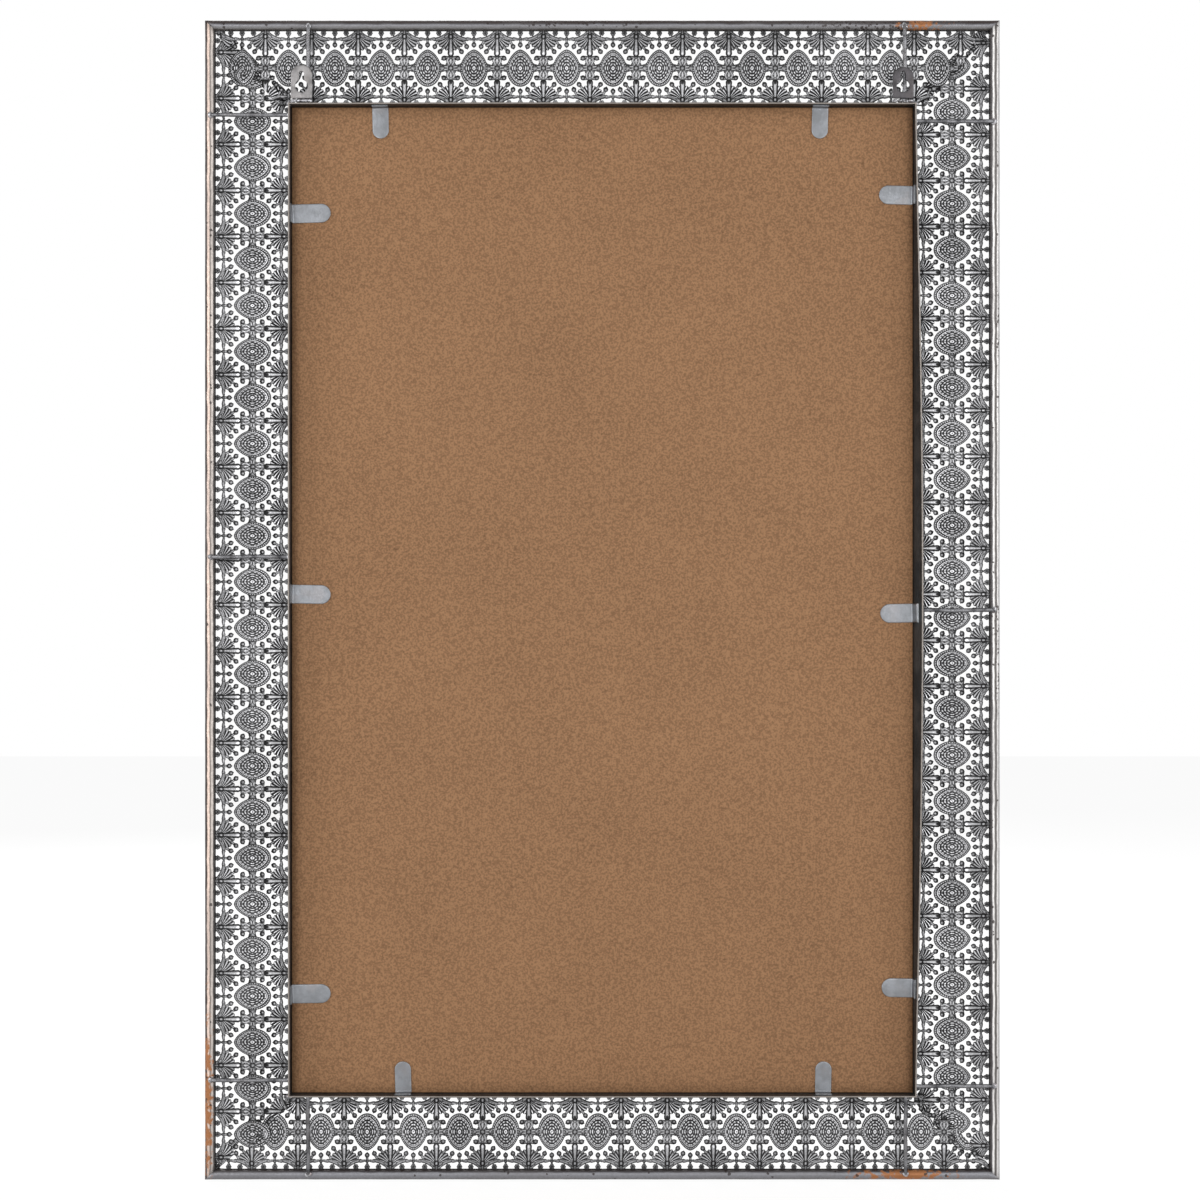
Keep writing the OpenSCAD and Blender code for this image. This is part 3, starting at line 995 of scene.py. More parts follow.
@dataclass(frozen=True)
class RailPaintAndLight(Finish):
    """Grey rods whose colour lies in bands: dark brown front paint on the outer flank, dark on the inner
    flank, and grey paint between them with painted highlights and painted shade.

    bands gives the tone at some angles round the rod, in degrees from its outer flank through 90 at the
    wall's side. The front paint shows again in worn spots and specks, each with its place and its reach
    along each axis.
    """

    bands: tuple[tuple[float, RailTone], ...] = ()
    umber: Colour = (0.022, 0.013, 0.011)
    orange: Colour = (0.33, 0.13, 0.045)
    dull: Colour = (0.16, 0.15, 0.15)
    spots: tuple[tuple[Triple, Triple], ...] = (
        ((-0.249, -0.01, 0.0495), (0.014, 0.01, 0.006)),
        ((-0.236, -0.01, -0.8525), (0.032, 0.01, 0.005)),
        ((0.31, -0.01, -0.80), (0.004, 0.01, 0.06)),
    )
    specks: tuple[tuple[Triple, Triple], ...] = (
        ((-0.21, -0.01, 0.0495), (0.045, 0.01, 0.006)),
        ((-0.311, -0.01, -0.186), (0.003, 0.01, 0.03)),
        ((-0.311, -0.01, -0.452), (0.003, 0.01, 0.045)),
        ((0.02, -0.01, 0.051), (0.06, 0.01, 0.003)),
    )

    def paint(self, w: Wiring, effects: Effects) -> Inputs:
        """Reads the angle from the attribute turn, and moves it by noise so that no band is straight.

        Args:
            w: the material's wiring.
            effects: the shared effects.

        Returns:
            The shader's inputs.
        """
        clouds = w.use(effects.mottle, Scale=34.0, Low=0.4, High=0.65, Stretch=(0.4, 1, 0.4))
        fine = w.use(effects.mottle, Scale=480.0, Low=0.3, High=0.72, Seed=3.0)
        rough = w.use(effects.mottle, Scale=130.0, Low=0.25, High=0.75, Seed=9.0, Stretch=(0.5, 1, 0.5))
        turn = w.attribute("turn").outputs[2]
        level = w.math("MULTIPLY_ADD", w.math("SUBTRACT", rough, 0.5), 0.07, turn)
        # The bands hold painted highlights and painted shade as well as the paint: pale and white bands
        # on the upright rails, darker bands between them.
        colour = w.ramp(level, [(degrees / 180, tone.value) for degrees, tone in self.bands])
        colour = w.mix(w.math("MULTIPLY", clouds, 0.3), colour, self.dull)
        colour = w.mix(w.math("MULTIPLY", fine, 0.3), colour, w.mix(0.5, colour, self.umber))
        dark = w.use(effects.speckle, Scale=300.0, Size=0.28, Share=0.1)
        many = w.use(effects.speckle, Scale=420.0, Size=0.42, Share=0.75)
        for place, reach in self.specks:
            speck = w.use(effects.spot, Place=place, Reach=reach)
            dark = w.math("MAXIMUM", dark, w.math("MULTIPLY", speck, many))
        for place, reach in self.spots:
            colour = w.mix(w.use(effects.spot, Place=place, Reach=reach), colour, self.orange)
        return {
            "Base Color": w.mix(w.math("MULTIPLY", dark, 0.85), colour, self.umber),
            "Metallic": 0.35,
            "Roughness": w.span(fine, 0, 1, (0.35, 0.5)),
            "Normal": self.bump(w, fine, 0.12, 0.0002),
        }


@dataclass(frozen=True)
class StripPaint(Finish):
    """Dark slate strips with a rear edge painted light as a highlight, and brown paint on the front lip.
    """

    slate: Colour = (0.02, 0.024, 0.027)
    # The colour of the painted highlight on the rear edge, mixed a little into the slate in clouds too.
    edge: Colour = (0.25, 0.225, 0.205)
    brown: Colour = (0.22, 0.11, 0.065)
    umber: Colour = (0.05, 0.03, 0.022)

    def paint(self, w: Wiring, effects: Effects) -> Inputs:
        """Paints the strip's depth in slate, a painted highlight on its rear edge, and its lip brown.

        Args:
            w: the material's wiring.
            effects: the shared effects.

        Returns:
            The shader's inputs.
        """
        fine = w.use(effects.mottle, Scale=420.0, Low=0.35, High=0.7, Seed=3.0)
        clouds = w.use(effects.mottle, Scale=60.0, Low=0.35, High=0.65, Seed=7.0)
        front = w.use(effects.front, Depth=-0.0186, Softness=0.0008)
        # Painted highlight: this mask is zero at the rear edge, where the edge colour is painted.
        rear = w.use(effects.front, Depth=-0.0003, Softness=0.0003, Scale=90.0)
        slate = w.mix(w.math("MULTIPLY", clouds, 0.12), self.slate, self.edge)
        brown = w.mix(fine, self.brown, self.umber)
        return {
            "Base Color": w.mix(front, w.mix(rear, self.edge, slate), brown),
            "Metallic": 0.6,
            "Roughness": w.span(fine, 0, 1, (0.4, 0.6)),
            "Normal": self.bump(w, fine, 0.2, 0.0002),
        }


@dataclass(frozen=True)
class PressedSheet(Finish):
    """Pressed sheet with painted light: painted highlights on the ridges and painted shade in the
    creases, brown where it faces the front.

    greys and browns give its brightness and its colour at some levels of tone, and band its tone across
    the rim of a medallion, by the share of the way out, as painted light and shade.
    """

    painted_line_shading: float = 0.8
    ring_count: float = 6.3
    dashes: float = 5.0
    dash_shift: float = 1.3
    ticks: float = 44.0
    greys: tuple[Pair, ...] = ((0.0, 0.002), (0.25, 0.025), (0.5, 0.2), (0.7, 0.48), (0.95, 0.9))
    browns: tuple[tuple[float, Colour], ...] = (
        (0.12, (0.01, 0.007, 0.006)),
        (0.45, (0.16, 0.085, 0.05)),
        (0.95, (0.62, 0.5, 0.42)),
    )
    band: tuple[Pair, ...] = (
        (0.75, 0.0),
        (0.78, 0.68),
        (0.82, 0.68),
        (0.845, 0.0),
        (0.865, 0.0),
        (0.89, 0.5),
        (0.96, 0.5),
        (1.0, 0.1),
    )

    def paint(self, w: Wiring, effects: Effects) -> Inputs:
        """Reads the painted light and shade of the ridges from the attribute tone, and which face it is
        from the attribute front.

        Args:
            w: the material's wiring.
            effects: the shared effects.

        Returns:
            The shader's inputs.
        """
        tone, front = w.attribute("tone").outputs[2], w.attribute("front").outputs[2]
        fine = w.use(effects.mottle, Scale=900.0, Low=0.3, High=0.7)
        clouds = w.use(effects.mottle, Scale=22.0, Low=0.35, High=0.7, Seed=5.0)
        # The ribs' and the rings' painted light and shade, which the bump also takes.
        lines = w.math("ADD", self.ribs(w), self.rings(w))
        level = w.math("ADD", tone, w.math("MULTIPLY", lines, self.painted_line_shading))
        level = w.math("ADD", level, w.about(fine, 0.5, 0.1))
        level = w.math("SUBTRACT", level, w.math("MULTIPLY", clouds, 0.08))
        rear = w.ramp(level, [(place, (grey, grey, 1.03 * grey)) for place, grey in self.greys])
        height = w.math("ADD", lines, w.math("MULTIPLY", fine, 0.15))
        return {
            "Base Color": w.mix(front, rear, w.ramp(level, self.browns)),
            "Metallic": 0.7,
            "Roughness": w.span(level, 0.2, 0.8, (0.55, 0.3)),
            "Normal": self.bump(w, height, 0.6, 0.0006),
        }

    @staticmethod
    def _parts(w: Wiring, name: str) -> bpy.types.NodeOutputs:
        """Returns the three numbers of a vector attribute."""
        return w.add("ShaderNodeSeparateXYZ", {0: w.attribute(name).outputs[1]}).outputs

    def ribs(self, w: Wiring) -> Socket:
        """Paints a highlight on the middle of each rib and painted shade in the gap between two ribs,
        fading towards the root.

        Args:
            w: the material's wiring.

        Returns:
            The ribs' painted light and shade, about zero.
        """
        count, reach, share = self._parts(w, "ribs")
        off = w.math("ABSOLUTE", w.math("MULTIPLY_ADD", w.math("FRACT", count), 2.0, -1.0))
        ridge = w.math("SUBTRACT", 0.35, w.math("POWER", off, 1.2))
        return w.math("MULTIPLY", w.math("MULTIPLY", ridge, w.span(reach, 1.5, 5.0)), share)

    def rings(self, w: Wiring) -> Socket:
        """Paints rings of dashes inside a plain line, a row of ticks and a rim, as painted highlights
        with painted shade between them.

        Across a ring the tone is a sine of its share, and along it a cosine of the angle, with more
        dashes on each ring farther out.

        Args:
            w: the material's wiring.

        Returns:
            The rings' painted light and shade, about zero.
        """
        out, angle, share = self._parts(w, "rings")
        ring = w.math("MULTIPLY", out, self.ring_count)
        number = w.math("FLOOR", ring)
        across = w.math("SINE", w.math("MULTIPLY", w.math("FRACT", ring), np.pi))
        shift = w.math("MULTIPLY", w.math("POWER", number, 2.0), self.dash_shift)
        turned = w.math("MULTIPLY", w.math("MULTIPLY", number, self.dashes), angle)
        dash = w.math("MULTIPLY_ADD", w.math("COSINE", w.math("ADD", shift, turned)), 0.28, 0.72)
        inner = w.math("MULTIPLY", w.math("MULTIPLY", w.math("POWER", across, 1.2), dash), 0.82)
        ticks = w.math("MULTIPLY", w.math("COSINE", w.math("MULTIPLY", angle, self.ticks)), 0.25)
        ticks = w.math("MULTIPLY", w.math("COMPARE", out, 0.903, 0.03), ticks)
        band = w.ramp(out, [(place, (tone, tone, tone)) for place, tone in self.band])
        outer = w.math("GREATER_THAN", out, self.band[0][0])
        inputs = {0: outer, 2: inner, 3: w.math("ADD", band, ticks)}
        return w.about(w.add("ShaderNodeMix", inputs).outputs[0], 0.45, share)


@dataclass(frozen=True)
class BareSteel(Finish):
    """Plated or bare steel with faint brushing, heat colour and dull clouds."""

    light: Colour = (0.42, 0.43, 0.46)
    dull: Colour = (0.16, 0.16, 0.17)
    tint: Colour = (0.36, 0.30, 0.30)
    roughness: float = 0.35
    scale: float = 120.0

    def paint(self, w: Wiring, effects: Effects) -> Inputs:
        """Paints light metal with dull clouds, a warm tint in places and fine streaks.

        Args:
            w: the material's wiring.
            effects: the shared effects.

        Returns:
            The shader's inputs.
        """
        clouds = w.use(effects.mottle, Scale=self.scale, Low=0.4, High=0.68, Seed=2.0)
        streaks = w.use(effects.mottle, Scale=700.0, Low=0.3, High=0.7)
        warm = w.use(effects.mottle, Scale=self.scale / 2, Low=0.5, High=0.7, Seed=11.0)
        colour = w.mix(clouds, self.light, self.dull)
        return {
            "Base Color": w.mix(w.math("MULTIPLY", warm, 0.6), colour, self.tint),
            "Metallic": 0.9,
            "Roughness": w.span(streaks, 0, 1, (self.roughness - 0.06, self.roughness + 0.12)),
            "Normal": self.bump(w, streaks, 0.15, 0.0002),
        }


@dataclass(frozen=True)
class Hardboard(Finish):
    """Bare hardboard: fine fibres of several browns, a little darker in clouds."""

    light: Colour = (0.37, 0.2, 0.1)
    dark: Colour = (0.12, 0.06, 0.028)

    def paint(self, w: Wiring, effects: Effects) -> Inputs:
        """Paints coarse and fine grain, a few dark fibres and soft clouds.

        Args:
            w: the material's wiring.
            effects: the shared effects.

        Returns:
            The shader's inputs.
        """
        coarse = w.use(effects.mottle, Scale=300.0, Low=0.3, High=0.7)
        fine = w.use(effects.mottle, Scale=640.0, Low=0.4, High=0.6, Seed=5.0)
        fibres = w.use(effects.mottle, Scale=260.0, Low=0.62, High=0.72, Seed=4.0, Stretch=(1, 1, 1.6))
        clouds = w.use(effects.mottle, Scale=9.0, Low=0.3, High=0.75, Seed=6.0)
        shade = w.math("MULTIPLY_ADD", coarse, 0.15, w.math("MULTIPLY", clouds, 0.1))
        shade = w.math("ADD", shade, w.math("MULTIPLY", fine, 0.45))
        shade = w.math("ADD", shade, w.math("MULTIPLY", fibres, 0.2), clamp=True)
        return {
            "Base Color": w.mix(shade, self.light, self.dark),
            "Roughness": 0.78,
            "Specular IOR Level": 0.25,
            "Normal": self.bump(w, coarse, 0.3, 0.0003),
        }


@dataclass(frozen=True)
class Silvering(Finish):
    """Silvered float glass, clear with the faintest haze."""

    clear: Colour = (0.86, 0.88, 0.88)
    hazy: Colour = (0.82, 0.85, 0.85)

    def paint(self, w: Wiring, effects: Effects) -> Inputs:
        """Paints a bright mirror whose roughness varies a very little.

        Args:
            w: the material's wiring.
            effects: the shared effects.

        Returns:
            The shader's inputs.
        """
        haze = w.use(effects.mottle, Scale=12.0, Low=0.45, High=0.8)
        return {
            "Base Color": w.mix(haze, self.clear, self.hazy),
            "Metallic": 1.0,
            "Roughness": w.span(haze, 0, 1, (0.02, 0.04)),
        }


# Bands round each rail, of paint and of painted highlights and shade: degrees from the outer flank,
# and the tone there. The white, mist and pale bands of the upright rails are painted highlights, and
# the rose band is pink paint painted bright as a highlight.
RAIL_PAINT_AND_LIGHT_BANDS: dict[Side, tuple[tuple[float, RailTone], ...]] = {
    Side.TOP: (
        (36, RailTone.UMBER),
        (62, RailTone.UMBER),
        (78, RailTone.SLATE),
        (94, RailTone.GREY),
        (132, RailTone.STEEL),
        (146, RailTone.LEAD),
        (168, RailTone.LEAD),
        (180, RailTone.UMBER),
    ),
    Side.RIGHT: (
        (30, RailTone.DARK),
        (58, RailTone.DARK),
        (68, RailTone.ROSE),
        (86, RailTone.ROSE),
        (99, RailTone.DIM),
        (112, RailTone.PALE),
        (130, RailTone.PALE),
        (140, RailTone.LEAD),
        (168, RailTone.LEAD),
        (180, RailTone.UMBER),
    ),
    Side.BOTTOM: (
        (20, RailTone.DARK),
        (36, RailTone.IRON),
        (76, RailTone.GREY),
        (116, RailTone.GREY),
        (130, RailTone.SLATE),
        (168, RailTone.UMBER),
        (180, RailTone.UMBER),
    ),
    Side.LEFT: (
        (12, RailTone.DARK),
        (34, RailTone.ASH),
        (60, RailTone.MIST),
        (76, RailTone.LEAD),
        (92, RailTone.LEAD),
        (102, RailTone.WHITE),
        (112, RailTone.WHITE),
        (126, RailTone.SLATE),
        (168, RailTone.LEAD),
        (180, RailTone.UMBER),
    ),
}

STAY_PAINT = BareSteel("stay paint", (0.2, 0.2, 0.21), (0.05, 0.05, 0.054), (0.14, 0.133, 0.133), 0.2)
WELD_METAL = BareSteel("weld metal", (0.46, 0.46, 0.48), (0.06, 0.055, 0.055), scale=500)
CLIP_STEEL = BareSteel("clip steel", (0.225, 0.234, 0.25), (0.18, 0.187, 0.198), (0.225, 0.217, 0.221))
PALE_HANGER = BareSteel("pale hanger", (0.27, 0.26, 0.26), (0.15, 0.145, 0.145), (0.26, 0.23, 0.21))
# A copy of the hanger steel painted darker with shade, for the left plate.
SHADED_HANGER = BareSteel("shaded hanger", (0.085, 0.08, 0.085), (0.05, 0.048, 0.05), (0.09, 0.08, 0.08))


@dataclass
class Rails:
    """The four round rods of the outer frame."""

    layout: Layout = LAYOUT
    sides_round: int = 28
    step: float = 5.0
    dent: float = 0.22
    long_wave: float = 70.0
    short_wave: float = 23.0

    def build(self, finishes: dict[Side, Material]) -> None:
        """Carries a circle along each side, cut at the mitres, with shallow marks that only go inwards.

        The attribute turn is the angle round the rod in half turns, from 0 on the outer flank to 1 on
        the inner one and on the front.

        Args:
            finishes: the material of each side.
        """
        for side in Side:
            radius = self.layout.rail / 2
            rows = int(2 * self.layout.along(side) / self.step)
            s = np.linspace(-1, 1, rows)[:, None]
            turn = np.linspace(0, 2 * np.pi, self.sides_round, endpoint=False)[None]
            length = s * self.layout.along(side)
            large = 0.5 + 0.5 * ripple(length + 6 * np.cos(turn), 11 + side.value, self.long_wave)
            small = 0.5 + 0.5 * ripple(length * 1.3 - 9 * np.sin(turn), 31 + side.value, self.short_wave)
            marks = large * 0.6 + 0.4 * small
            r = radius - self.dent * marks * smooth_step(1 - np.abs(s), 0, 0.03)
            a = self.layout.across(side) - radius + r * np.cos(turn)
            u = s * self.layout.half_at(side, a)
            y = -self.layout.rail_depth + r * np.sin(turn)
            points = self.layout.place(side, u, a, y)
            faces = loft(rows, self.sides_round)
            mesh = solid_mesh(f"rail_{side.label}", points, faces, [False, True, True])
            halves = np.clip(((turn / np.pi + 0.5) % 2) - 0.5, 0, 1)
            attach(mesh, "turn", np.broadcast_to(halves, r.shape).ravel())
            show(mesh, finishes[side], [f"outer_rail_{side.label}"])


@dataclass
class Strips:
    """The four strips of sheet on edge round the mirror, each with a lip at the front."""

    layout: Layout = LAYOUT
    step: float = 12.0
    bevel: float = 0.3

    def profile(self) -> Floats:
        """The strip's outline, with every corner cut off a little.

        Returns:
            Rows of a, outwards from its outer face, and of y.
        """
        t, lip, depth, c = self.layout.strip_t, self.layout.lip, self.layout.strip_depth, self.bevel
        return np.array(
            [
                (-c, 0),
                (0, -c),
                *[(0, -k) for k in (3, 6, 9, 12, 15)],
                (0, c - depth),
                (-c, -depth),
                (c - t - lip, -depth),
                (-t - lip, c - depth),
                (-t - lip, t - depth - c),
                (c - t - lip, t - depth),
                (-t - c, t - depth),
                (-t, t + c - depth),
                *[(-t, -k) for k in (15, 12, 9, 6, 3)],
                (-t, -c),
                (c - t, 0),
            ]
        )

    def build(self, finish: Material) -> None:
        """Carries the outline along each side, with its lean and slight waves.

        Args:
            finish: the strips' material.
        """
        outline = self.profile()
        for side in Side:
            outer = self.layout.across(side) - self.layout.border
            half = float(self.layout.half_at(side, outer))
            rows = int(2 * half / self.step)
            s = np.linspace(-1, 1, rows)[:, None]
            a = outer + outline[None, :, 0]
            y = np.broadcast_to(outline[None, :, 1], (rows, len(outline)))
            u = s * self.layout.half_at(side, a)
            lean = self.layout.lean(side, u, y)
            wave = 0.12 * ripple(s * half, 50 + side.value, 260) * (1 - s**8)
            points = self.layout.place(side, u, a + lean + np.minimum(wave, 0), y)
            mesh = solid_mesh(f"strip_{side.label}", points, loft(rows, len(outline)), [True] * 3)
            show(mesh, finish, [f"inner_strip_{side.label}"])


@dataclass(frozen=True)
class StripEnd:
    """How one end of a filigree strip is cut and laid.

    outer and inner say how far past the mitre it ends, and whole whether its last medallion is kept
    whole. drop moves the end to the front, so that it passes under its neighbour as seen from the wall.
    """

    outer: float
    inner: float
    whole: bool = False
    drop: float = 0.0


@dataclass
class Filigree:
    """The four strips of pressed and pierced sheet between the rails and the inner strips.

    patterns gives, for each side, the place of one medallion to the right of the middle or above it,
    and the length of one repeat.
    """

    layout: Layout = LAYOUT
    ornament: Ornament = Ornament()
    sheet_t: float = 0.8
    columns: int = 60
    rows: int = 49
    tuck: float = 0.6
    fit: float = 0.05
    patterns: dict[Side, Pair] = field(
        default_factory=lambda: {
            Side.TOP: (-8.4, 36.4),
            Side.BOTTOM: (3.4, 36.25),
            Side.LEFT: (-13.5, 36.09),
            Side.RIGHT: (14.3, 36.16),
        }
    )
    ends: dict[Side, tuple[StripEnd, StripEnd]] = field(
        default_factory=lambda: {
            Side.TOP: (StripEnd(1.5, 9.0, True), StripEnd(1.5, 9.0, True)),
            Side.RIGHT: (StripEnd(9.0, 9.0, False, 1.5), StripEnd(1.5, 9.0, True)),
            Side.BOTTOM: (StripEnd(9.0, 9.0, False, 1.5), StripEnd(3.0, 9.0)),
            Side.LEFT: (StripEnd(9.0, 9.0, False, 1.5), StripEnd(9.0, 9.0, False, 1.5)),
        }
    )

    def build(self, finish: Material) -> None:
        """Builds each side's strip in lengths that stay under the limit of triangles.

        Args:
            finish: the strips' material.
        """
        for side in Side:
            count = 2 if side.level else 3
            end = self.layout.along(side)
            cuts = [k * 2 * end / count - end for k in range(count + 1)]
            for k, (low, high) in enumerate(zip(cuts[:-1], cuts[1:])):
                mesh = self.length(f"filigree_{side.label}_{k + 1}", side, low, high)
                show(mesh, finish, [f"filigree_{side.label}"])

    def length(self, name: str, side: Side, low: float, high: float) -> Mesh:
        """One length of a strip as a closed, pressed sheet.

        Args:
            name: the mesh's name.
            side: the side it lies on.
            low: where it starts along the side.
            high: where it ends.

        Returns:
            The mesh, with the attributes tone, front, ribs and rings on its points.
        """
        place, repeat = self.patterns[side]
        ornament = replace(self.ornament, repeat=repeat)
        start = self.layout.seen_from_front(side, place)
        du = repeat / self.columns
        dv = (ornament.half_w + self.tuck) / (self.rows + 0.5)
        first, last = np.floor((low - start) / du), np.ceil((high - start) / du)
        u = start + du * np.arange(first - 1, last + 2)
        v = dv * np.arange(-self.rows - 1, self.rows + 2)
        uu, vv = np.meshgrid(u, v, indexing="ij")
        if low > 1 - self.layout.along(side):
            low = start + du * (np.round((low - start) / du) + 0.5)
        if high < self.layout.along(side) - 1:
            high = start + du * (np.round((high - start) / du) + 0.5)
        d = self._trimmed(side, ornament, start, uu, vv)
        d = np.maximum(d, np.maximum(low - uu, uu - high))
        d[[0, -1], :] = np.maximum(d[[0, -1], :], 0.2)
        return self._pressed(name, side, ornament, start, PiercedSheet(u, v, d))

    def _middle(self, side: Side, ornament: Ornament) -> float:
        """Distance of a strip's middle line from the middle of the frame."""
        return self.layout.across(side) - self.layout.rail - self.fit - ornament.half_w

    def _trimmed(self, side: Side, ornament: Ornament, start: float, u: Floats, v: Floats) -> Floats:
        """Cuts the pattern along the strip's edges and at its ends, some of which keep a whole medallion.

        Args:
            side: the side the strip lies on.
            ornament: its pattern.
            start: the place of one of its medallions.
            u: places along the side.
            v: places across the strip from its middle line.

        Returns:
            Distance to the metal, negative inside it.
        """
        middle = self._middle(side, ornament)
        half, half_mid = self.layout.half_at(side, middle + v), float(self.layout.half_at(side, middle))
        share = (ornament.half_w - v) / (2 * ornament.half_w)
        distance = ornament.relief(u - start, v).distance
        d = np.maximum(distance, np.abs(v) - ornament.half_w - self.tuck)
        for sign, end in zip((-1, 1), self.ends[side]):
            past = (sign * u - half - end.outer - (end.inner - end.outer) * share) * ACROSS_MITRE
            if end.whole:
                steps = np.round((sign * (half_mid + 1.0) - start) / ornament.repeat)
                last = start + ornament.repeat * steps
                past = np.minimum(past, ornament.medallion_distance(u - last, v, v))
            d = np.maximum(d, past)
        return np.maximum(d, np.abs(u) - self.layout.along(side) + self.layout.rail - self.tuck)

    def _pressed(
        self,
        name: str,
        side: Side,
        ornament: Ornament,
        start: float,
        sheet: PiercedSheet,
    ) -> Mesh:
        """Raises a flat sheet to the pattern's relief, moves its ends to the front and thickens it.

        Args:
            name: the mesh's name.
            side: the side it lies on.
            ornament: its pattern.
            start: the place of one of its medallions.
            sheet: the flat sheet.

        Returns:
            The mesh, with its attributes.
        """
        u, v = sheet.flat[:, 0], sheet.flat[:, 1]
        metal = ornament.relief(u - start, v)
        a = self._middle(side, ornament) + v
        past = np.abs(u) - self.layout.half_at(side, a)
        drop = np.where(u < 0, self.ends[side][0].drop, self.ends[side][1].drop)
        y = -self.layout.rail_depth - metal.height - drop * smooth_step(past, -9, 0)
        front = self.layout.place(side, u, a, y - self.sheet_t / 2)
        rear = self.layout.place(side, u, a, y + self.sheet_t / 2)
        rings, flat = sheet.thick()
        mesh = solid_mesh(name, np.concatenate([front, rear]), rings, flat)
        # tone carries the pattern's painted light and shade, on both faces.
        attach(mesh, "tone", np.tile(metal.tone, 2))
        attach(mesh, "front", np.repeat([1.0, 0.0], len(u)))
        attach(mesh, "ribs", np.tile(metal.ribs, (2, 1)))
        attach(mesh, "rings", np.tile(metal.rings, (2, 1)))
        return mesh


@dataclass
class Stays:
    """The ten wires that join the rails and the inner strips across the back."""

    layout: Layout = LAYOUT
    diameter: float = 3.2
    lap: float = 3.6
    weld_d: float = 5.6
    foot_d: float = 4.6
    rows: int = 24
    sides_round: int = 16

    def places(self) -> dict[str, tuple[Side, float]]:
        """Lists the stays.

        Returns:
            Each stay's node, with its side and its place to the right of the middle or above it.
        """
        w = self.layout.width / 2 - self.layout.border
        h = self.layout.height / 2 - self.layout.border
        return {
            "stay_top_left": (Side.TOP, 8.6 - w),
            "stay_top_right": (Side.TOP, w - 15.2),
            "stay_bottom_left": (Side.BOTTOM, 7.9 - w),
            "stay_bottom_right": (Side.BOTTOM, w - 15.0),
            "stay_left_upper": (Side.LEFT, h - 13.4),
            "stay_right_upper": (Side.RIGHT, h - 8.5),
            "stay_left_middle": (Side.LEFT, -7.8),
            "stay_right_middle": (Side.RIGHT, 33.8),
            "stay_left_lower": (Side.LEFT, 7.7 - h),
            "stay_right_lower": (Side.RIGHT, 12.4 - h),
        }

    def build(self, finish: Material, weld: Material) -> None:
        """Carries a circle along each wire, which bends a little, and sets a bead at both of its ends.

        Args:
            finish: the wires' material.
            weld: the beads' material.
        """
        radius, beads = self.diameter / 2, []
        depth = radius - (self.layout.rail_depth - self.layout.rail / 2)
        for seed, (node, (side, place)) in enumerate(self.places().items()):
            u0 = self.layout.seen_from_front(side, place)
            outer = self.layout.across(side) - self.layout.rail + self.lap
            inner = self.layout.across(side) - self.layout.border
            t = np.linspace(0, 1, self.rows)
            t = np.concatenate([[0, 0.004], t[1:-1], [0.985, 0.996, 1]])[:, None]
            turn = np.linspace(0, 2 * np.pi, self.sides_round, endpoint=False)[None]
            ends = np.sqrt(np.clip(1 - (np.clip(t - 0.97, 0, 1) / 0.031) ** 2, 0.02, 1))
            r = radius * ends * (1 + 0.02 * ripple(t * 60, seed, 9))
            bend = 0.45 * ripple(t * 60, seed + 20, 110) * np.sin(np.pi * t)
            foot = float(self.layout.lean(side, np.array(u0), np.array(depth)))
            a = inner + foot + (outer - inner - foot) * t
            points = self.layout.place(side, u0 + bend + r * np.cos(turn), a, depth + r * np.sin(turn))
            faces = loft(len(t), self.sides_round)
            mesh = solid_mesh(f"{node}_wire", points, faces, [False, True, True])
            show(mesh, finish, [node])
            on_rail = (u0, outer - self.diameter / 4, 0.3 * self.weld_d / 2 + depth - radius)
            beads.append(Blob(side, on_rail, (0.52, 0.46, 0.36), self.weld_d, 100 + seed))
            on_strip = (u0, inner + foot + 0.5, depth)
            beads.append(Blob(side, on_strip, (0.5, 0.3, 0.5), self.foot_d, 200 + seed))
        points, rings = joined(blob.shape(self.layout) for blob in beads)
        show(solid_mesh("stay_beads", points, rings), weld, ["stay_welds"])


@dataclass
class Blob:
    """A lump of weld: a sphere squeezed to its own shape, with lumps made of a few seeded waves."""

    side: Side
    centre: Triple
    squeeze: Triple
    diameter: float
    seed: int
    lumps: float = 0.16
    rows: int = 11
    columns: int = 18

    def shape(self, layout: Layout) -> tuple[Floats, Rings]:
        """Sets points on a grid of latitude and longitude, moved in and out by the waves.

        Args:
            layout: turns the side's coordinates into the object's.

        Returns:
            The lump's points and faces.
        """
        rows, columns = self.rows, self.columns
        lat = np.linspace(-np.pi / 2, np.pi / 2, rows)[:, None]
        lon = np.linspace(0, 2 * np.pi, columns, endpoint=False)[None]
        rng = np.random.default_rng(self.seed)
        k = rng.uniform(0, PHASE, 4)
        wave = np.sin(2 * lon + k[0]) * np.cos(lat) + np.sin(3 * lon + k[1]) * np.cos(lat) ** 2
        wave = wave + np.sin(4 * lat + k[2]) + 0.6 * np.sin(5 * lon + 3 * lat + k[3]) * np.cos(lat)
        r = self.diameter * (1 + self.lumps * wave / 2 - self.lumps)
        u = self.centre[0] + self.squeeze[0] * r * np.cos(lat) * np.cos(lon)
        a = self.centre[1] + self.squeeze[1] * r * np.cos(lat) * np.sin(lon)
        y = self.centre[2] + self.squeeze[2] * r * np.sin(lat)
        grid = layout.place(self.side, u, a, y).reshape(rows, columns, 3)
        poles = grid[0].mean(0)[None], grid[-1].mean(0)[None]
        points = np.concatenate([poles[0], grid[1:-1].reshape(-1, 3), poles[1]])
        rings = [loft(rows - 2, columns, caps=False)[0] + 1]
        j = np.arange(columns)
        last = 1 + (rows - 3) * columns
        rings.append(np.stack([np.zeros_like(j), 1 + (j + 1) % columns, 1 + j], -1))
        rings.append(np.stack([np.full_like(j, len(points) - 1), last + j, last + (j + 1) % columns], -1))
        return points, rings


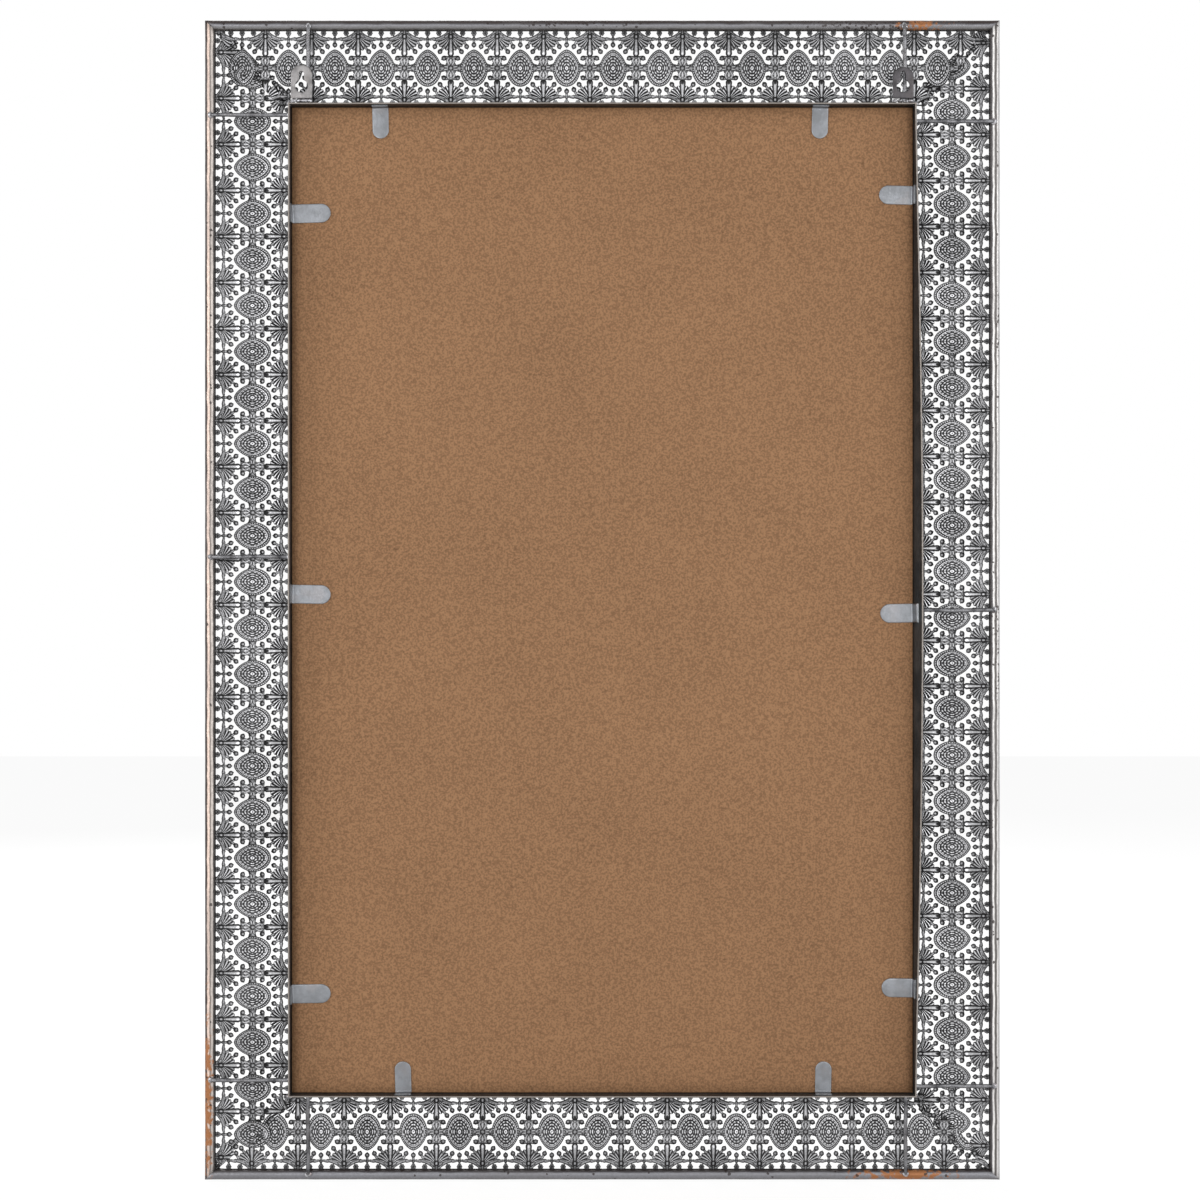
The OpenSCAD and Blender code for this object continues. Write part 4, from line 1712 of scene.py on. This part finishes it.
@dataclass
class Clips:
    """The ten bent clips that hold the board."""

    layout: Layout = LAYOUT
    thickness: float = 1.0
    bend: float = 1.0
    leg: float = 8.0

    def places(self) -> dict[str, tuple[Side, float, float, float, float]]:
        """Lists the clips.

        Returns:
            Each clip's node, with its side, place, width, length and tilt in degrees.
        """
        w = self.layout.width / 2 - self.layout.border
        h = self.layout.height / 2 - self.layout.border
        return {
            "clip_top_left": (Side.TOP, 74.3 - w, 12.8, 25, 1.5),
            "clip_top_right": (Side.TOP, w - 71.2, 12.8, 25, -1.0),
            "clip_bottom_left": (Side.BOTTOM, 72.2 - w, 12.8, 25, 1.0),
            "clip_bottom_right": (Side.BOTTOM, w - 89.4, 12.8, 25, -1.5),
            "clip_left_upper": (Side.LEFT, h - 70.9, 14.8, 27, 1.5),
            "clip_right_upper": (Side.RIGHT, h - 85.4, 14.8, 31, -1.5),
            "clip_left_middle": (Side.LEFT, -10.2, 14.8, 26, -1.0),
            "clip_right_middle": (Side.RIGHT, 4.7, 14.8, 31, 1.0),
            "clip_left_lower": (Side.LEFT, 83.8 - h, 14.8, 25, 1.0),
            "clip_right_lower": (Side.RIGHT, 79.1 - h, 14.8, 31, -1.0),
        }

    def build(self, finish: Material) -> None:
        """Carries a flat rounded section down each leg, round the bend and out to a semicircular end.

        Args:
            finish: the clips' material.
        """
        for node, (side, place, width, length, tilt) in self.places().items():
            path, normal = self.path(length)
            reach = path[:, 0]
            past = np.clip(reach - (length - width / 2), 0, width / 2 - 0.02)
            half = np.sqrt(np.maximum((width / 2) ** 2 - past**2, 0.05))
            turn = np.linspace(0, 2 * np.pi, 20, endpoint=False)
            cu, cn = np.cos(turn), np.sin(turn)
            over = np.sign(cu) * np.abs(cu) ** 0.12
            thick = np.sign(cn) * np.abs(cn) ** 0.5 * self.thickness / 2
            u = half[:, None] * over[None]
            x = path[:, 0][:, None] + normal[:, 0][:, None] * thick[None]
            y = path[:, 1][:, None] + normal[:, 1][:, None] * thick[None]
            angle = np.radians(tilt)
            u, x = u * np.cos(angle) + x * np.sin(angle), x * np.cos(angle) - u * np.sin(angle)
            seat = self.layout.across(side) - self.layout.border - self.layout.strip_t
            u0 = self.layout.seen_from_front(side, place)
            lift = 0.25 * smooth_step(reach, length * 0.5, length)[:, None]
            y = y - self.layout.board_back + lift
            lean = self.layout.lean(side, u0 + u, y) * smooth_step(x, 4, 0.5)
            points = self.layout.place(side, u0 + u, seat - np.maximum(x, 0.02) + lean, y)
            mesh = solid_mesh(f"{node}_strap", points, loft(len(path), len(turn)), [False, True, True])
            show(mesh, finish, [node])

    def path(self, length: float) -> tuple[Floats, Floats]:
        """The middle line of a clip and its normal: x away from the strip, y away from the board.

        Args:
            length: how far the clip reaches from the strip.

        Returns:
            Points of the line, and the unit normal at each.
        """
        r = self.bend + self.thickness / 2
        down = np.linspace(self.leg, r + self.thickness / 2, 6)
        leg = np.stack([np.full(6, self.thickness / 2), down], -1)
        turn = np.linspace(np.pi, 1.5 * np.pi, 8)[1:-1]
        c = r + self.thickness / 2
        arc = np.stack([c + r * np.cos(turn), c + r * np.sin(turn)], -1)
        out = c + (length - 0.05 - c) * np.sin(np.linspace(0, np.pi / 2, 26))
        flat = np.stack([out, np.full(26, self.thickness / 2)], -1)
        path = np.concatenate([leg, arc, flat])
        along = np.gradient(path, axis=0)
        along /= np.linalg.norm(along, axis=1, keepdims=True)
        return path, np.stack([-along[:, 1], along[:, 0]], -1)


@dataclass
class Hangers:
    """The two keyhole plates, and the beads of weld under them and round the inner frame's corners."""

    layout: Layout = LAYOUT
    spacing: float = 470.0
    width: float = 16.5
    thickness: float = 2.0
    hole: float = 10.0
    slot: float = 4.0
    rise: float = 9.5
    foot: float = 9.6
    tops: Pair = (14.7, 16.4)
    corner: float = 7.7
    grid: float = 0.35
    weld_d: float = 3.8
    weld_pitch: float = 4.2
    corner_weld_d: float = 4.4

    def plate(self, x: float, top: float, name: str) -> Mesh:
        """A keyhole plate with softened edges.

        Both faces fall away over the last part of a millimetre before an edge.

        Args:
            x: the middle of the plate.
            top: its upper edge, above the hole.
            name: the mesh's name.

        Returns:
            The mesh.
        """
        u = np.arange(-self.width / 2 - 0.5, self.width / 2 + 0.51, self.grid)
        v = np.arange(-self.foot - 0.5, top + 0.51, self.grid)
        uu, vv = np.meshgrid(u, v, indexing="ij")
        sheet = PiercedSheet(u, v, self.distance(uu, vv, top))
        pu, pv = sheet.flat[:, 0], sheet.flat[:, 1]
        soft = 0.35 * np.clip(1 + self.distance(pu, pv, top) / 0.7, 0, 1) ** 2
        front = np.column_stack([pu + x, -self.thickness + soft, pv]) * MM
        rear = np.column_stack([pu + x, -soft, pv]) * MM
        rings, flat = sheet.thick()
        return solid_mesh(name, np.concatenate([front, rear]), rings, flat)

    def distance(self, u: Floats, v: Floats, top: float) -> Floats:
        """Distance to a rectangle with rounded upper corners, or to the keyhole inside it.

        Args:
            u: places to the right of the hole.
            v: places above it.
            top: the plate's upper edge.

        Returns:
            The distance, negative inside the metal.
        """
        half, r = self.width / 2, self.corner
        qu, qv = np.abs(u) - half + r, v - top + r
        round_top = np.where((qu > 0) & (qv > 0), np.hypot(qu, qv) - r, -9.0)
        outside = np.maximum.reduce([np.abs(u) - half, v - top, -self.foot - v, round_top])
        hole = np.hypot(u, v) - self.hole / 2
        near = np.clip(v, 0, self.rise)
        slot = np.hypot(u, v - near) - self.slot / 2
        return np.maximum(outside, -np.minimum(hole, slot))

    def build(self, plates: Sequence[Material], weld: Material) -> None:
        """Builds both plates and every bead of weld near them.

        Args:
            plates: the materials of the left and the right plate; the left one is painted darker with
                shade.
            weld: the beads' material.
        """
        beads, seat = [], self.layout.across(Side.TOP) - self.layout.border
        places = (-self.spacing / 2, self.spacing / 2)
        for finish, name, x, top in zip(plates, ("left", "right"), places, self.tops):
            show(self.plate(x, top, f"hanger_{name}_plate"), finish, [f"hanger_{name}"])
            for k in range(4):
                place = (x + (k - 1.5) * self.weld_pitch, seat + 1.7, -1.9)
                seed = 300 + k + int(x)
                beads.append(Blob(Side.TOP, place, (0.66, 0.54, 0.5), self.weld_d, seed, lumps=0.14))
        points, rings = joined(blob.shape(self.layout) for blob in beads)
        show(solid_mesh("hanger_beads", points, rings), weld, ["hanger_welds"])
        w = self.layout.width / 2 - self.layout.border
        corners = [(Side.TOP, -w), (Side.TOP, w), (Side.BOTTOM, -w), (Side.BOTTOM, w)]
        beads = []
        for k, (side, u) in enumerate(corners):
            place = (u, self.layout.across(side) - self.layout.border, -6.2)
            beads.append(Blob(side, place, (0.52, 0.52, 0.5), self.corner_weld_d, 400 + k))
        points, rings = joined(blob.shape(self.layout) for blob in beads)
        show(solid_mesh("corner_beads", points, rings), weld, ["corner_welds"])


@dataclass
class Pane:
    """The glass and the hardboard behind it."""

    layout: Layout = LAYOUT
    gap: float = 0.5
    glass_t: float = 3.0
    board_t: float = 3.0
    step: float = 9.0

    def slab(self, name: str, back: float, t: float, bevel: float, wave: float) -> Mesh:
        """A slab with bevelled edges whose faces may be a little uneven.

        Both faces are grids, and three bands of faces round them make the front bevel, the edge and the
        rear bevel. The rear face moves by two crossing ripples, which fade out towards its edges.

        Args:
            name: the mesh's name.
            back: distance of its rear face from the wall.
            t: its thickness.
            bevel: the size of its bevels.
            wave: how far its rear face moves in and out.

        Returns:
            The mesh.
        """
        w = self.layout.width / 2 - self.layout.border - self.layout.strip_t - self.gap
        h = self.layout.height / 2 - self.layout.border - self.layout.strip_t - self.gap
        nx, nz = int(2 * w / self.step), int(2 * h / self.step)
        x, z = np.linspace(bevel - w, w - bevel, nx), np.linspace(bevel - h, h - bevel, nz)
        xx, zz = np.meshgrid(x, z, indexing="ij")
        uneven = wave * (ripple(xx, 71, 300) + ripple(zz, 72, 420)) / 2 - wave
        uneven = uneven * np.clip(np.minimum(w - np.abs(xx), h - np.abs(zz)) / 25, 0, 1)
        front = np.stack([xx, np.full_like(xx, -back - t), zz], -1).reshape(-1, 3)
        rear = np.stack([xx, -back + uneven, zz], -1).reshape(-1, 3)
        ids = np.arange(nx * nz).reshape(nx, nz)
        loop = np.concatenate([ids[:-1, 0], ids[-1, :-1], ids[:0:-1, -1], ids[0, :0:-1]])
        count = len(loop)
        out_x, out_z = (
            np.sign(front[loop, axis]) * (np.abs(np.abs(front[loop, axis]) - half + bevel) < 1e-6)
            for axis, half in ((0, w), (2, h))
        )
        edge = front[loop] + bevel * np.stack([out_x, np.zeros(count), out_z], -1)
        low, high = edge.copy(), edge.copy()
        low[:, 1], high[:, 1] = bevel - back - t, -back - bevel
        points = np.concatenate([front, rear, low, high]) * MM
        points[:, 2] += self.layout.mid_z * MM
        quads = np.stack([ids[:-1, :-1], ids[1:, :-1], ids[1:, 1:], ids[:-1, 1:]], -1).reshape(-1, 4)
        n = nx * nz
        following = np.roll(np.arange(count), -1)
        first, second = 2 * n + np.arange(count), 2 * n + count + np.arange(count)
        bands = [
            np.stack([loop[following], loop, first, first[following]], -1),
            np.stack([first[following], first, second, second[following]], -1),
            np.stack([second[following], second, loop + n, loop[following] + n], -1),
        ]
        faces = [quads, quads[:, ::-1] + n, *bands]
        return solid_mesh(name, points, faces, [False, False, True, True, True])

    def build(self, glass: Material, board: Material) -> None:
        """Builds both slabs.

        Args:
            glass: the glass's material.
            board: the hardboard's material.
        """
        pane = self.slab("glass_pane", self.layout.glass_back, self.glass_t, 0.5, 0.0)
        show(pane, glass, ["mirror_glass"])
        sheet = self.slab("hardboard_sheet", self.layout.board_back, self.board_t, 0.3, 0.1)
        show(sheet, board, ["backing_board"])


@dataclass
class Studio:
    """Floor, soft lights, white surroundings and the camera, which looks at the back of the mirror."""

    distance: float = 2.2
    centre: Pair = (0.0018, -0.4015)
    frame_width: float = 0.937
    floor_z: float = -0.8565
    ambient: float = 0.38

    def build(self) -> None:
        """Sets up everything that isn't part of the object."""
        self._camera()
        self._world()
        self._floor()
        for name, place, size, power in (
            ("left softbox", (2.3, 0.9, -0.15), (0.9, 1.4), 15.5),
            ("right softbox", (-2.3, 0.9, -0.15), (0.9, 1.4), 15.5),
            ("left window", (1.1, 2.4, -0.15), (1.0, 1.4), 15.5),
            ("right window", (-1.1, 2.4, -0.15), (1.0, 1.4), 15.5),
            ("front softbox", (0.6, -2.4, 1.0), (1.6, 1.6), 30.0),
        ):
            self._softbox(name, Vector(place), size, power)

    def _camera(self) -> None:
        """Adds a camera on the wall's side of the mirror, square to it."""
        data = bpy.data.cameras.new("camera")
        data.sensor_width = 36
        data.lens = data.sensor_width * self.distance / self.frame_width
        data.clip_start, data.clip_end = 0.05, 50
        camera = bpy.data.objects.new("camera", data)
        bpy.context.scene.collection.objects.link(camera)
        camera.location = (self.centre[0], self.distance, self.centre[1])
        camera.rotation_mode = "QUATERNION"
        camera.rotation_quaternion = Vector((0, -1, 0)).to_track_quat("-Z", "Y")
        bpy.context.scene.camera = camera
        bpy.context.scene.view_settings.view_transform = "Standard"

    @staticmethod
    def _seen(w: Wiring) -> Socket:
        """Returns one for rays from the camera, a mirror or glass, and zero for light on the object."""
        path = w.add("ShaderNodeLightPath")
        direct = w.math("MAXIMUM", path.outputs["Is Camera Ray"], path.outputs["Is Glossy Ray"])
        return w.math("MAXIMUM", direct, path.outputs["Is Transmission Ray"])

    def _world(self) -> None:
        """Adds surroundings that are white where they are seen, and a plain soft light elsewhere."""
        world = bpy.data.worlds.new("studio")
        bpy.context.scene.world = world
        world.use_nodes = True
        w = Wiring(world.node_tree)
        level = w.span(self._seen(w), 0, 1, (self.ambient, 1.0))
        sky = w.add("ShaderNodeBackground", {0: (1, 1, 1), 1: level})
        w.add("ShaderNodeOutputWorld", {0: sky.outputs[0]})

    def _floor(self) -> None:
        """Adds a pale floor that keeps the shadow of the mirror."""
        mesh = bpy.data.meshes.new("floor")
        r, z = 6.0, self.floor_z
        mesh.from_pydata([(-r, -r, z), (r, -r, z), (r, r, z), (-r, r, z)], [], [(0, 1, 2, 3)])
        floor = bpy.data.objects.new("floor", mesh)
        bpy.context.scene.collection.objects.link(floor)
        material = bpy.data.materials.new("pale floor")
        material.use_nodes = True
        w = Wiring(material.node_tree)
        plain = w.add("ShaderNodeBsdfDiffuse", {0: (0.86, 0.86, 0.86)})
        glow = w.add("ShaderNodeEmission", {0: (1, 1, 1), 1: 1.2})
        share = w.math("MULTIPLY", self._seen(w), 0.72)
        both = w.add("ShaderNodeMixShader", {0: share, 1: plain.outputs[0], 2: glow.outputs[0]})
        w.add("ShaderNodeOutputMaterial", {0: both.outputs[0]})
        mesh.materials.append(material)

    @staticmethod
    def _softbox(name: str, place: Vector, size: Pair, power: float) -> None:
        """Adds a rectangular lamp that faces the middle of the mirror.

        Args:
            name: its name.
            place: where it stands.
            size: its width and height.
            power: its power in watts.
        """
        data = bpy.data.lights.new(name, "AREA")
        data.shape = "RECTANGLE"
        data.size, data.size_y = size
        data.energy = power
        lamp = bpy.data.objects.new(name, data)
        bpy.context.scene.collection.objects.link(lamp)
        lamp.location = place
        lamp.rotation_mode = "QUATERNION"
        lamp.rotation_quaternion = (Vector((0, 0, -0.4)) - place).to_track_quat("-Z", "Y")


def main() -> None:
    """Builds the studio and every piece."""
    logging.basicConfig(level=logging.INFO, format="%(message)s")
    effects = Effects()
    Studio().build()
    rails = {
        side: RailPaintAndLight(f"rail paint {side.label}", bands).material(effects)
        for side, bands in RAIL_PAINT_AND_LIGHT_BANDS.items()
    }
    strip = StripPaint("strip paint").material(effects)
    steels = (STAY_PAINT, WELD_METAL, CLIP_STEEL, PALE_HANGER, SHADED_HANGER)
    stay, weld, clip, pale, grey = (steel.material(effects) for steel in steels)
    Rails().build(rails)
    Strips().build(strip)
    Filigree().build(PressedSheet("pressed sheet").material(effects))
    Stays().build(stay, weld)
    Clips().build(clip)
    Hangers().build((grey, pale), weld)
    Pane().build(Silvering("silvering").material(effects), Hardboard("hardboard").material(effects))


if __name__ == "__main__":
    main()
